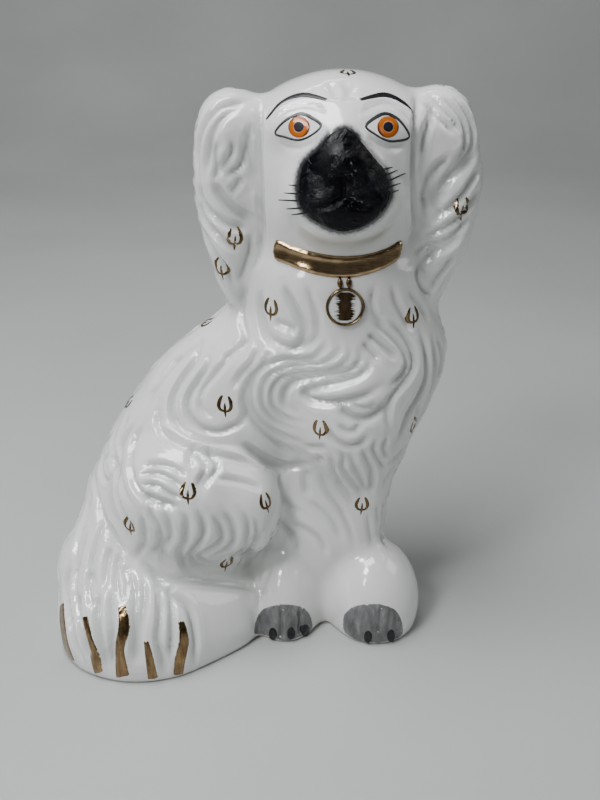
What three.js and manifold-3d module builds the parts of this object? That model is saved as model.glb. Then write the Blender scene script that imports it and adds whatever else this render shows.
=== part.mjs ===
// A seated ceramic spaniel: one hollow slip-cast body with a raised collar and locket, and its fired-on enamel and liquid-gold decoration.
// Every decoration layer is a thin solid of its own that follows the glaze, because each is a separate material laid on and fired after the casting.
import * as THREE from 'three';
import { mergeVertices } from 'three/addons/utils/BufferGeometryUtils.js';
import Module from 'manifold-3d';

// ---- Driving dimensions, in millimetres and degrees ----
const DISPLAY_TURN = -13; // the modelling frame is turned so that the long axis of the foot runs along X and the display side faces -Y
const WALL = 4.5; // slip-cast wall
const FLOOR = 6; // thickness of the closed foot
const FOOT_RIM = 7; // width of the flat rim that the figure rests on
const FOOT_RECESS = 1.5; // depth of the underside inside the rim
const DRAIN_RADIUS = 6; // the slip drain and firing vent in the foot
const DRAIN_AT = [-32, 9];
const BODY_CELL = 6; // facet size of the outer surface
const CAVITY_CELL = 10; // facet size of the inner surface
const LAYER_GAP = 0.15; // air left between the glaze and each layer
const ENAMEL = 0.45; // thickness of an enamel or gilt layer
const COLLAR_RAISE = 1.6; // height of the raised collar over the fur
const LOCKET_RAISE = 1.8;
const LOCKET_RIM = 0.9; // width of the gilt rim of the locket
const PART_GAP = 0.3; // gap between neighbours in one painted motif
const LOWEST_LAYER = 0.7; // no decoration is nearer to the table than this

// ---- The modelled form: ellipsoids [name, centre, radii, turns, blend] and tapered limbs [name, start, end, radius, radius, blend] ----
// X is to the figure's left as it faces the viewer, Y is away from the viewer, Z is up. Each form melts into those before it over its blend width.
const FORMS = [
  ['rump', [-53.6, 10, 48.6], [43.1, 37, 40], [0, -10, 0], 10],
  ['backline', [-31.9, 16, 82.3], [54, 31, 31.9], [0, -44, 0], 14],
  ['loin', [-58.4, 14, 79.3], [22.1, 24, 21.2], [0, -40, 0], 14],
  ['withers', [-41.4, 18, 100.8], [27, 24, 22.6], [0, -40, 0], 14],
  ['shoulder', [7.6, 16, 119.3], [52.5, 30, 27.9], [0, -6, 0], 14],
  ['chest', [26.2, 12, 113.6], [31.6, 28, 36.3], [0, 4, 0], 12],
  ['breast', [21, 2, 95.5], [24.4, 24, 30.2], [0, 0, 0], 12],
  ['neck', [15.8, 14, 148.4], [36.5, 26, 26], [0, 0, 0], 10],
  ['leg_r', [28.7, 2, 78.8], [25.8, -2, 40.5], 13, 10.5, 10],
  ['leg_l', [0, 6, 66.6], [-5.4, -2, 24.3], 14, 11.5, 12],
  ['web', [12, 7, 28], [20, 21, 50], [0, 0, 0], 10],
  ['foot_r', [33, -9, 9], [20.5, 21.8, 29], [0, 0, 0], 6],
  ['foot_l', [-6.5, -9, 6], [15, 19.8, 29], [0, 0, 0], 5],
  ['haunch', [-46.1, -13, 65.1], [31.9, 22, 27.7], [0, 8, 0], 6],
  ['knee', [-21.1, -14, 59.8], [12.6, 16, 19.4], [0, 0, 0], 8],
  ['hind_foot', [-43, -18, 6], [27, 22, 24], [0, 0, 14], 6],
  ['tail_base', [-79.6, -8, 23.3], [27.7, 27, 31.3], [0, 8, 0], 10],
  ['tail_brush', [-67, -22, 7], [38, 31, 35], [0, 8, 0], 6],
  ['base_back', [-28, 14, 4], [70, 29, 16], [0, 0, 0], 14],
  ['skull', [16.4, 17, 200.7], [32, 29, 27.5], [0, 0, 0], 10],
  ['brow', [15.7, 14, 211.2], [34.3, 23, 14.2], [0, 0, 0], 8],
  ['jaw', [15.3, 9, 181.9], [27.9, 22, 19.1], [0, 0, 0], 8],
  ['cheeks', [14.9, 8, 196.6], [29.5, 18, 20.2], [0, 0, 0], 8],
  ['snout', [15.6, -4, 189.6], [18.9, 19, 16], [0, 0, 0], 11],
  ['flew_l', [7.5, -12, 187.9], [8.9, 10, 8.9], [0, 0, 0], 8],
  ['flew_r', [23.4, -12, 188.2], [8.9, 10, 8.9], [0, 0, 0], 8],
  ['bridge', [15.2, -6, 203.2], [11.7, 13, 13.5], [26, 0, 0], 10],
  ['nose', [14.7, -17.5, 201.8], [6.8, 7.5, 4.8], [0, 0, 0], 5],
  ['chin', [15.6, -8, 181], [12.4, 13, 6.9], [0, 0, 0], 7],
  ['eye_l', [-0.3, -2.6, 210.9], [8.5, 5.2, 5.3], [0, 0, 0], 6],
  ['eye_r', [31.2, -2.6, 210.9], [8.5, 5.2, 5.3], [0, 0, 0], 6],
  ['headfill', [15.8, 22, 187.9], [46.5, 20, 34.7], [0, 0, 0], 9],
  ['nape', [11.7, 25, 152.4], [35, 20, 62.4], [5, 0, 0], 20],
  ['mane', [16, 22, 155.7], [46, 20, 28.8], [0, 0, 0], 8],
  ['ear_l1', [-25.2, 15, 207.5], [13.9, 15, 15.8], [0, 0, 0], 7],
  ['ear_l2', [-27.3, 15, 189.9], [13.9, 15, 21.6], [0, 4, 0], 8],
  ['ear_l3', [-26.8, 13, 168.7], [11, 13, 19.7], [0, -8, 0], 6],
  ['ear_l4', [-27.7, 12, 151.9], [4.8, 8, 8.8], [0, -6, 0], 5],
  ['ear_r1', [51.8, 15, 208.2], [13.5, 15, 16.1], [0, 0, 0], 7],
  ['ear_r2', [56.2, 15, 190.6], [13.8, 15, 21.5], [0, -4, 0], 8],
  ['ear_r3', [55.2, 13, 168.7], [11.8, 13, 19.7], [0, 12, 0], 6],
  ['ear_r4', [52.7, 12, 151.1], [5.2, 8, 9.7], [0, 10, 0], 5],
];

// ---- Painted and raised layers: a point on the surface, the direction it faces, and the outline on the plane that faces that way ----
const LAYERS = {
  iris_left: { at: [-0.35, -10.05, 212.02], normal: [-0.395, -0.855, 0.335], outline: [[4.16, 0.18], [4.06, -1.46], [3.04, -2.76], [1.35, -3.48], [-0.61, -3.53], [-2.35, -2.92], [-3.56, -1.76], [-4.07, -0.24], [-3.88, 1.37], [-3.01, 2.75], [-1.57, 3.59], [0.19, 3.71], [1.96, 3.08], [3.38, 1.81]] },
  pupil_left: { at: [-0.35, -10.05, 212.02], normal: [-0.362, -0.88, 0.307], outline: [[1.86, 0.07], [1.63, -0.92], [0.75, -1.55], [-0.42, -1.59], [-1.4, -1.03], [-1.85, -0.08], [-1.61, 0.91], [-0.79, 1.57], [0.34, 1.62], [1.35, 1.05]] },
  eyeliner_left: { at: [-0.35, -10.05, 212.02], normal: [-0.445, -0.835, 0.325], outline: [[-9.3, -2.45], [-5.52, 1.62], [-2.3, 3.85], [-0.66, 4.47], [2.53, 4.03], [7.59, 1.74], [8.48, 0.71], [7.98, -0.5], [4.88, -2.81], [1.75, -4], [-1.7, -4.19], [-8.54, -3.06]] },
  eyebrow_left: { at: [-1.91, -4.11, 218.91], normal: [-0.379, -0.544, 0.749], outline: [[-9.99, -6.05], [-8.35, -4.69], [-5.27, 0.32], [-3.31, 1.88], [-1.01, 3.03], [1.49, 3.73], [4.67, 4.03], [10.9, 3.64], [10.6, 4.73], [4.06, 5.73], [0.4, 5.76], [-2.37, 4.79], [-4.72, 3.32], [-6.6, 1.39], [-9.38, -4.09], [-10.73, -5.65]] },
  paw_enamel_left: { at: [-6.75, -28.6, 10.2], normal: [0.14, -0.99, 0.018], outline: [[-8.16, -8.85], [-12.34, -0.41], [-9, 4.04], [-4.82, 7.69], [0.61, 9.28], [6.26, 7.62], [10.89, 2.72], [13.41, -6.64], [9.48, -8.77], [0.21, -9.58]] },
  iris_right: { at: [30.31, -10.5, 212.07], normal: [0.395, -0.846, 0.357], outline: [[4.21, -0.27], [3.71, -1.79], [2.49, -2.94], [0.66, -3.55], [-1.45, -3.51], [-3.28, -2.79], [-4.36, -1.49], [-4.42, 0.17], [-3.55, 1.82], [-2.03, 3.09], [-0.19, 3.72], [1.62, 3.59], [3.08, 2.72], [3.98, 1.34]] },
  pupil_right: { at: [30.31, -10.5, 212.07], normal: [0.365, -0.871, 0.33], outline: [[1.91, -0.1], [1.47, -1.04], [0.44, -1.6], [-0.79, -1.56], [-1.72, -0.93], [-1.96, 0.07], [-1.41, 1.06], [-0.35, 1.63], [0.81, 1.56], [1.66, 0.9]] },
  eyeliner_right: { at: [30.31, -10.5, 212.07], normal: [0.424, -0.835, 0.351], outline: [[-8.97, 0.67], [-7.52, 1.87], [-1.47, 4.51], [1.01, 4.45], [3.65, 2.9], [7.72, -2.19], [8.46, -3.68], [7.31, -4.39], [0.06, -4.57], [-4.57, -3.01], [-8.73, -0.36]] },
  eyebrow_right: { at: [32.02, -5.03, 218.75], normal: [0.357, -0.566, 0.743], outline: [[-10.97, 3.81], [-4.21, 4.27], [-0.92, 3.93], [1.44, 3.01], [3.42, 1.48], [5.09, -0.33], [7.78, -5.07], [9.35, -6.29], [10.14, -5.9], [8.91, -4.46], [6.55, 0.71], [5, 2.85], [3, 4.71], [0.32, 5.95], [-3.58, 5.95], [-10.62, 4.92]] },
  paw_enamel_right: { at: [31.12, -30.59, 12.17], normal: [-0.09, -0.996, 0.003], outline: [[-10.38, -10.52], [-12.9, -1.93], [-10.41, 4.05], [-5.77, 7.85], [-0.3, 9.22], [4.81, 8.49], [10.1, 4.68], [13.14, -3.79], [12.18, -10.99], [0.48, -10.95], [-5.42, -11.48]] },
  muzzle_enamel: { at: [14.55, -23.49, 195.75], normal: [-0.051, -0.994, 0.095], outline: [[-2.51, 16.61], [-13.92, 5.69], [-15.89, -1.57], [-14.72, -8.82], [-9.42, -13.75], [0.39, -17.11], [5.63, -16.02], [10.37, -13.61], [14.05, -10.21], [16.39, -6.27], [16.59, -2.05], [15.45, 1.95], [1.18, 17.1]], whiskers: [
    [[-12.59, -1.24], [-12.55, -2.14], [-19.3, -1.94]],
    [[-12.91, -3.82], [-12.85, -4.72], [-20.86, -4.87]],
    [[-12.91, -6.11], [-12.81, -7.01], [-23.32, -7.71]],
    [[-12.27, -8.3], [-12.08, -9.18], [-20.19, -10.5]],
    [[-11.26, -9.89], [-11.01, -10.75], [-18.28, -12.38]],
    [[11.51, 2.99], [11.36, 3.88], [17.27, 4.41]],
    [[12.71, 0.84], [12.45, 1.7], [19.18, 3.3]],
    [[13.46, -1.13], [13.19, -0.27], [22.3, 2.06]],
    [[13.41, -2.91], [13.24, -2.03], [20.43, -1.11]],
    [[13.14, -5.22], [12.95, -4.34], [19.7, -3.33]],
  ] },
  gilt_collar: { at: [14.49, -8.69, 164.84], normal: [-0.001, -1, 0.012], outline: [[-23.55, 5.71], [-10.77, 3.08], [-4.49, 2.1], [1.43, 1.59], [7.77, 1.78], [13.45, 2.5], [18.87, 3.76], [24.01, 5.66], [23.06, -0.89], [18.26, -3.4], [13.61, -4.74], [7.54, -6], [1.55, -6.42], [-5.53, -6], [-12.61, -4.79], [-24.39, -1.19]] },
  locket: { at: [16.94, -12.27, 147.76], normal: [0.004, -0.995, 0.102], outline: [[7.39, -0.13], [7.08, -2.44], [6.08, -4.51], [4.47, -6.15], [2.43, -7.21], [0.15, -7.58], [-2.14, -7.24], [-4.21, -6.2], [-5.86, -4.55], [-6.94, -2.44], [-7.32, -0.09], [-7, 2.25], [-5.98, 4.34], [-4.39, 5.98], [-2.37, 7.02], [-0.12, 7.37], [2.14, 7], [4.2, 5.94], [5.87, 4.28], [6.97, 2.19]] },
  locket_link_left: { at: [14.93, -10.92, 156.72], normal: [-0.011, -0.961, 0.276], outline: [[0.9, 0], [0.64, -0.81], [0.01, -1.15], [-0.62, -0.81], [-0.9, -0], [-0.64, 0.81], [-0.01, 1.14], [0.62, 0.81]] },
  locket_link_right: { at: [18.29, -10.84, 156.78], normal: [0.052, -0.959, 0.279], outline: [[0.9, -0.01], [0.63, -0.82], [-0, -1.15], [-0.64, -0.8], [-0.9, 0.01], [-0.63, 0.82], [0.01, 1.14], [0.64, 0.8]] },
  tail_gilt_1: { at: [-96.54, -40.41, 14.81], normal: [-0.768, -0.628, 0.125], outline: [[-16.06, 6.14], [-13.51, 2.45], [-9.26, -1.48], [-6.5, -5.8], [-6.67, -12.44], [-0.98, -13.03], [1.79, -13.64], [7.08, -11.22], [5.84, -7.72], [3.7, -3.66], [1.3, 0.11], [-1.66, 3.85], [-6.26, 7.36], [-10.4, 9.88]] },
  tail_gilt_2: { at: [-84.43, -48.37, 16.38], normal: [-0.406, -0.886, 0.224], outline: [[-6.82, 9.84], [-2.48, -1.85], [-0.22, -10.7], [0.1, -14.6], [4.88, -11.41], [4.5, -7.69], [3.53, -3.18], [-2.12, 8.24], [-3.87, 11.09]] },
  tail_gilt_3: { at: [-71.27, -50.35, 20.75], normal: [-0.095, -0.933, 0.347], outline: [[-2.66, 12.82], [-2.09, 9.33], [-1.85, 4.98], [-3.54, -4.36], [-3.62, -18.02], [2.43, -16], [1.02, -4.1], [3.04, 4.87], [1.93, 9.92], [0.54, 13.42]] },
  tail_gilt_4: { at: [-60.65, -52.1, 12.96], normal: [0.141, -0.979, 0.15], outline: [[-1.76, 7.43], [-1.58, -10.99], [2.82, -10.65], [1.55, 1.65], [0.82, 5.41], [0.18, 7.69]] },
  tail_gilt_5: { at: [-48.45, -48.22, 14.16], normal: [0.431, -0.884, 0.179], outline: [[0.91, 11.33], [-0.2, 4.22], [-2.98, -3.61], [-4.17, -11.88], [-0.08, -12.99], [1.34, -6.18], [4.03, 2.65], [3.87, 7.59], [3.38, 11.04]] },
  claw_left_1: { at: [-11.74, -27.53, 4.17], normal: [-0.419, -0.905, -0.073], outline: [[1.63, 0.55], [1.07, -1.76], [-0.22, -3.27], [-1.35, -2.77], [-1.74, -0.75], [-1.15, 1.6], [0.06, 2.91], [1.2, 2.47]] },
  claw_left_2: { at: [-3.9, -28.51, 5.31], normal: [0.226, -0.974, -0.018], outline: [[1.53, -0.4], [1.09, -2.39], [0.02, -3.03], [-1.05, -1.93], [-1.49, 0.21], [-1.04, 2.17], [0.03, 2.81], [1.09, 1.76]] },
  claw_left_3: { at: [2.19, -25.16, 4.05], normal: [0.657, -0.746, -0.112], outline: [[2.17, -1.38], [1.88, -3.48], [0.34, -3.26], [-1.29, -1.39], [-1.93, 1.05], [-1.39, 2.8], [-0.03, 2.91], [1.43, 1.2]] },
  claw_right_1: { at: [29.35, -30.24, 4.89], normal: [-0.191, -0.975, -0.113], outline: [[1.46, 0.22], [1.08, -2.15], [0.06, -3.35], [-1, -2.57], [-1.47, -0.34], [-1.09, 1.96], [-0.09, 3.03], [0.97, 2.32]] },
  claw_right_2: { at: [39.35, -29.5, 4.8], normal: [0.331, -0.936, -0.122], outline: [[1.73, -0.64], [1.54, -2.94], [0.45, -3.53], [-0.9, -2.04], [-1.63, 0.45], [-1.34, 2.53], [-0.26, 3.12], [0.98, 1.85]] },
};

// ---- Gilt sprigs: [name, point, direction, roll, scale] ----
const SPRIGS = [
  ['sprig_head_top', [17.16, 8.82, 228.7], [0.036, -0.206, 0.978], 0, 0.9],
  ['sprig_ear_l_1', [-24.59, 0.24, 170.93], [0.2, -0.979, 0.036], 0, 1],
  ['sprig_ear_l_2', [-30.67, 3.18, 158.48], [-0.516, -0.821, -0.245], 0, 1],
  ['sprig_chest_l', [-11.22, -4.52, 144.78], [-0.531, -0.847, 0.029], -6, 1],
  ['sprig_neck_l', [-38.78, 16.1, 131.79], [-0.558, -0.028, 0.829], -30, 0.95],
  ['sprig_chest_r', [43.81, -5.14, 141.74], [0.579, -0.788, 0.209], 4, 1],
  ['sprig_ear_r', [60.92, 1.31, 181.97], [0.357, -0.934, -0.033], 4, 1],
  ['sprig_shoulder_l', [-29.93, -11.46, 106.55], [-0.15, -0.968, 0.202], 0, 1],
  ['sprig_back_l', [-73.47, 11.1, 97.28], [-0.786, -0.135, 0.603], -30, 0.9],
  ['sprig_chest_c', [7.88, -19.16, 99.73], [-0.421, -0.907, -0.009], -4, 1],
  ['sprig_chest_lo_r', [46.6, -8.11, 95.46], [0.788, -0.573, -0.224], 14, 0.9],
  ['sprig_haunch_1', [-43.74, -32.06, 78.72], [0.069, -0.909, 0.412], -6, 1],
  ['sprig_haunch_2', [-69.38, -27.41, 59.78], [-0.569, -0.811, -0.137], 0, 1],
  ['sprig_knee', [-13.72, -24.86, 69.59], [0.709, -0.615, 0.346], 0, 1],
  ['sprig_foreleg', [26.24, -11.94, 59.95], [0.027, -0.999, 0.048], 0, 0.95],
  ['sprig_shin', [-31.27, -18.92, 35.19], [0.473, -0.795, -0.38], 0, 1],
  ['sprig_rear_1', [-62, 44.61, 70], [-0.288, 0.947, 0.14], 0, 1],
  ['sprig_rear_2', [-22, 46.12, 92], [0.126, 0.991, 0.053], 0, 1],
  ['sprig_rear_3', [22, 49.82, 118], [0.128, 0.989, -0.073], 0, 1],
  ['sprig_rear_4', [-50, 42.57, 30], [0.083, 0.894, -0.439], 0, 1],
  ['sprig_rear_5', [12, 47.36, 188], [-0.049, 0.997, -0.06], 0, 1],
  ['sprig_rear_6', [30, 13.67, 60], [0.595, 0.801, -0.062], 0, 1],
];

// Two petals, a stamen and a stem in one stroke of gold.
const SPRIG_OUTLINE = [
  [0.2, -4.4], [0.5, -1.9], [2.5, -0.7], [2.3, 3.7], [0.8, -0.3], [0, 2.4],
  [-0.8, -0.3], [-2.3, 3.7], [-2.5, -0.7], [-0.5, -1.9], [-0.5, -4.2],
];

const wasm = await Module();
wasm.setup();

// ---- The form as a distance field ----
const turn = ([x, y, z]) => new THREE.Matrix3().setFromMatrix4(
  new THREE.Matrix4().makeRotationFromEuler(new THREE.Euler(...[x, y, z].map(THREE.MathUtils.degToRad), 'ZYX'))).elements;
const forms = FORMS.map((row) => (Array.isArray(row[3])
  ? { c: row[1], r: row[2], m: turn(row[3]), k: row[4] }
  : { a: row[1], b: row[2], ra: row[3], rb: row[4], k: row[5] }));

function formDistance(f, x, y, z) {
  if (f.c) {
    const [dx, dy, dz] = [x - f.c[0], y - f.c[1], z - f.c[2]];
    const m = f.m;
    const q = [m[0] * dx + m[1] * dy + m[2] * dz, m[3] * dx + m[4] * dy + m[5] * dz, m[6] * dx + m[7] * dy + m[8] * dz];
    const k0 = Math.hypot(q[0] / f.r[0], q[1] / f.r[1], q[2] / f.r[2]);
    const k1 = Math.hypot(q[0] / f.r[0] ** 2, q[1] / f.r[1] ** 2, q[2] / f.r[2] ** 2);
    return (k0 * (k0 - 1)) / Math.max(k1, 1e-6);
  }
  const ab = f.b.map((v, i) => v - f.a[i]);
  const ap = [x - f.a[0], y - f.a[1], z - f.a[2]];
  const t = Math.min(1, Math.max(0, (ap[0] * ab[0] + ap[1] * ab[1] + ap[2] * ab[2]) / (ab[0] ** 2 + ab[1] ** 2 + ab[2] ** 2)));
  return Math.hypot(ap[0] - t * ab[0], ap[1] - t * ab[1], ap[2] - t * ab[2]) - (f.ra + (f.rb - f.ra) * t);
}
const blendMin = (a, b, k) => { const h = Math.max(k - Math.abs(a - b), 0) / k; return Math.min(a, b) - (h * h * k) / 4; };
const blendMax = (a, b, k) => -blendMin(-a, -b, k);

function figure(x, y, z) {
  let d = Infinity;
  for (const f of forms) {
    const v = formDistance(f, x, y, z);
    d = d === Infinity ? v : blendMin(d, v, f.k);
  }
  return d;
}
const outside = (x, y, z) => blendMax(figure(x, y, z), -6 - z, 1); // carried 6 mm below the table, where the foot is cut flat
const hollow = (x, y, z) => blendMax(figure(x, y, z) + WALL, FLOOR - z, 3);

function gradient(field, x, y, z) {
  const e = 0.2;
  const g = new THREE.Vector3(field(x + e, y, z) - field(x - e, y, z), field(x, y + e, z) - field(x, y - e, z), field(x, y, z + e) - field(x, y, z - e));
  return g.normalize();
}

// A closed quad-dominant skin of a field on a cubic lattice, with one point in each crossed cell, drawn onto the surface.
function skin(field, cell, min, max) {
  const n = min.map((v, i) => Math.ceil((max[i] - v) / cell) + 1);
  const at = (i, j, k) => (k * n[1] + j) * n[0] + i;
  const d = new Float64Array(n[0] * n[1] * n[2]);
  for (let k = 0; k < n[2]; k++) for (let j = 0; j < n[1]; j++) for (let i = 0; i < n[0]; i++)
    d[at(i, j, k)] = field(min[0] + i * cell, min[1] + j * cell, min[2] + k * cell);
  const points = [];
  const index = new Map();
  const corners = [[0, 0, 0], [1, 0, 0], [0, 1, 0], [1, 1, 0], [0, 0, 1], [1, 0, 1], [0, 1, 1], [1, 1, 1]];
  const edges = [[0, 1], [2, 3], [4, 5], [6, 7], [0, 2], [1, 3], [4, 6], [5, 7], [0, 4], [1, 5], [2, 6], [3, 7]];
  for (let k = 0; k < n[2] - 1; k++) for (let j = 0; j < n[1] - 1; j++) for (let i = 0; i < n[0] - 1; i++) {
    const v = corners.map((c) => d[at(i + c[0], j + c[1], k + c[2])]);
    if (v.every((s) => s < 0) || v.every((s) => s >= 0)) continue;
    const p = [0, 0, 0];
    let count = 0;
    for (const [a, b] of edges) {
      if (v[a] < 0 === v[b] < 0) continue;
      const t = v[a] / (v[a] - v[b]);
      for (let q = 0; q < 3; q++) p[q] += corners[a][q] + t * (corners[b][q] - corners[a][q]);
      count++;
    }
    const w = [i, j, k].map((c, q) => min[q] + (c + p[q] / count) * cell);
    for (let step = 0; step < 4; step++) {
      const s = THREE.MathUtils.clamp(field(...w), -0.3 * cell, 0.3 * cell);
      const g = gradient(field, ...w);
      w[0] -= s * g.x; w[1] -= s * g.y; w[2] -= s * g.z;
    }
    index.set(at(i, j, k), points.length);
    points.push(w);
  }
  const tris = [];
  const far = (a, b) => Math.hypot(...points[a].map((v, q) => v - points[b][q]));
  const quad = (a, b, c, e, flip) => {
    if (flip) [b, e] = [e, b];
    if (far(a, c) <= far(b, e)) tris.push(a, b, c, a, c, e);
    else tris.push(a, b, e, b, c, e);
  };
  for (let k = 1; k < n[2] - 1; k++) for (let j = 1; j < n[1] - 1; j++) for (let i = 1; i < n[0] - 1; i++) {
    const here = d[at(i, j, k)] < 0;
    const c = (di, dj, dk) => index.get(at(i + di, j + dj, k + dk));
    if (here !== d[at(i + 1, j, k)] < 0) quad(c(0, -1, -1), c(0, 0, -1), c(0, 0, 0), c(0, -1, 0), !here);
    if (here !== d[at(i, j + 1, k)] < 0) quad(c(-1, 0, -1), c(-1, 0, 0), c(0, 0, 0), c(0, 0, -1), !here);
    if (here !== d[at(i, j, k + 1)] < 0) quad(c(-1, -1, 0), c(0, -1, 0), c(0, 0, 0), c(-1, 0, 0), !here);
  }
  return { points, tris, normals: points.map((w) => gradient(field, ...w)) };
}

// The skin moved out along its own normals, as a three.js geometry.
function skinGeometry(s, out = 0) {
  const g = new THREE.BufferGeometry();
  g.setAttribute('position', new THREE.Float32BufferAttribute(s.points.flatMap((w, i) => [
    w[0] + s.normals[i].x * out, w[1] + s.normals[i].y * out, w[2] + s.normals[i].z * out]), 3));
  g.setIndex(s.tris);
  return g;
}

// ---- Solids and back ----
function solid(geometry) {
  const g = geometry.clone();
  g.deleteAttribute('normal');
  g.deleteAttribute('uv');
  const m = mergeVertices(g, 1e-4);
  return new wasm.Manifold(new wasm.Mesh({ numProp: 3, vertProperties: new Float32Array(m.attributes.position.array), triVerts: new Uint32Array(m.index.array) }));
}
function geometryOf(s) {
  const m = s.getMesh();
  const g = new THREE.BufferGeometry();
  const v = new Float32Array(m.numVert * 3);
  for (let i = 0; i < m.numVert; i++) v.set(m.vertProperties.subarray(i * m.numProp, i * m.numProp + 3), i * 3);
  g.setAttribute('position', new THREE.BufferAttribute(v, 3));
  g.setIndex(new THREE.BufferAttribute(new Uint32Array(m.triVerts), 1));
  g.computeVertexNormals();
  return g;
}
const biggest = (s) => s.decompose().sort((a, b) => b.volume() - a.volume())[0];
const box = (x, y, z, cx, cy, cz) => solid(new THREE.BoxGeometry(x, y, z).translate(cx, cy, cz));

// ---- The casting ----
const outer = skin(outside, BODY_CELL, [-118, -62, -12], [84, 58, 240]);
const inner = skin(hollow, CAVITY_CELL, [-116, -60, -4], [84, 58, 238]);
const belowTable = box(400, 300, 60, 0, 0, -30);

const footprint = [];
for (let i = 0; i < 56; i++) {
  const a = (i / 56) * 2 * Math.PI;
  let r = 4;
  while (r < 140 && figure(DRAIN_AT[0] + r * Math.cos(a), DRAIN_AT[1] + r * Math.sin(a), 0) < -FOOT_RIM) r += 0.5;
  footprint.push(new THREE.Vector2(DRAIN_AT[0] + r * Math.cos(a), DRAIN_AT[1] + r * Math.sin(a)));
}
const recess = solid(new THREE.ExtrudeGeometry(new THREE.Shape(footprint), { depth: FOOT_RECESS + 2, bevelEnabled: false }).translate(0, 0, -2));
const drain = solid(new THREE.CylinderGeometry(DRAIN_RADIUS, DRAIN_RADIUS, FLOOR + 16, 20).rotateX(Math.PI / 2).translate(DRAIN_AT[0], DRAIN_AT[1], FLOOR / 2));

const casting = solid(skinGeometry(outer)).subtract(belowTable).subtract(recess).subtract(biggest(solid(skinGeometry(inner)))).subtract(drain);

// ---- Layers on the glaze ----
const shells = new Map();
const shell = (out) => {
  if (!shells.has(out)) shells.set(out, solid(skinGeometry(outer, out)));
  return shells.get(out);
};
const nearTable = box(400, 300, 60, 0, 0, LOWEST_LAYER - 30);

function basis(normal, roll = 0) {
  const n = new THREE.Vector3(...normal).normalize();
  const up = Math.abs(n.z) > 0.94 ? new THREE.Vector3(0, 1, 0) : new THREE.Vector3(0, 0, 1);
  const t2 = up.addScaledVector(n, -up.dot(n)).normalize().applyAxisAngle(n, THREE.MathUtils.degToRad(roll));
  return new THREE.Matrix4().makeBasis(new THREE.Vector3().crossVectors(t2, n), t2, n);
}
const grow = (outline, d) => { // moves each side of an outline out by d
  const n = outline.length;
  const area = outline.reduce((s, p, i) => s + p[0] * outline[(i + 1) % n][1] - outline[(i + 1) % n][0] * p[1], 0);
  return outline.map((p, i) => {
    const a = outline[(i + n - 1) % n];
    const b = outline[(i + 1) % n];
    const t = new THREE.Vector2(b[0] - a[0], b[1] - a[1]).normalize().multiplyScalar(area > 0 ? d : -d);
    return [p[0] + t.y, p[1] - t.x];
  });
};
const circle = (r, n) => Array.from({ length: n }, (_, i) => [r * Math.cos((i / n) * 2 * Math.PI), r * Math.sin((i / n) * 2 * Math.PI)]);
function prism(at, normal, outline, depth = 8, roll = 0, scale = 1, hole = null) {
  const shape = new THREE.Shape(outline.map((p) => new THREE.Vector2(p[0] * scale, p[1] * scale)));
  if (hole) shape.holes.push(new THREE.Path(hole.map((p) => new THREE.Vector2(p[0], p[1]))));
  const g = new THREE.ExtrudeGeometry(shape, { depth: 2 * depth, bevelEnabled: false, steps: 1 }).translate(0, 0, -depth);
  return solid(g.applyMatrix4(basis(normal, roll).setPosition(...at)));
}
const lay = (p, from = LAYER_GAP, to = LAYER_GAP + ENAMEL) => biggest(p.intersect(shell(to)).subtract(shell(from)).subtract(nearTable));

// ---- Materials ----
const paint = (color, roughness, metalness) => new THREE.MeshStandardMaterial({ color, roughness, metalness });
const GLAZE = paint(0xf1f0ec, 0.08, 0);
const GOLD = paint(0xa07a3c, 0.18, 1);
const BLACK = paint(0x0b0b0d, 0.12, 0);
const GREY = paint(0x6d6f71, 0.35, 0);
const CHARCOAL = paint(0x1d2022, 0.2, 0);
const AMBER = paint(0xc56a1c, 0.15, 0);

const figurine = new THREE.Group();
figurine.name = 'ceramic_dog_figurine';
function add(name, s, material) {
  const mesh = new THREE.Mesh(geometryOf(s), material);
  mesh.name = name;
  figurine.add(mesh);
}

add('ceramic_body', casting, GLAZE);

// Raised collar, and the locket that hangs from it on two links.
const { gilt_collar: collar, locket } = LAYERS;
add('gilt_collar', lay(prism(collar.at, collar.normal, collar.outline, 26), LAYER_GAP, COLLAR_RAISE), GOLD);
const locketRadius = 7.2;
add('locket_rim', lay(prism(locket.at, locket.normal, circle(locketRadius, 24), 8, 0, 1, circle(locketRadius - LOCKET_RIM, 24)), LAYER_GAP, LOCKET_RAISE + 0.3), GOLD);
add('locket_disc', lay(prism(locket.at, locket.normal, circle(locketRadius - LOCKET_RIM - PART_GAP, 20)), LAYER_GAP, LOCKET_RAISE), GLAZE);
add('locket_gilding', lay(prism(locket.at, locket.normal, [[-2.2, 3.2], [0.2, 4.4], [2.6, 3], [3.2, 0.4], [2.3, -2.4], [0.8, -4.3], [-1.2, -4], [-2.6, -1.8], [-3.3, 0.8]]), LOCKET_RAISE + LAYER_GAP, LOCKET_RAISE + LAYER_GAP + 0.25), GOLD);
for (const side of ['left', 'right']) {
  const l = LAYERS[`locket_link_${side}`];
  add(`locket_link_${side}`, lay(prism(l.at, l.normal, l.outline, 5), LAYER_GAP, 1.5), GOLD);
}

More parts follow.
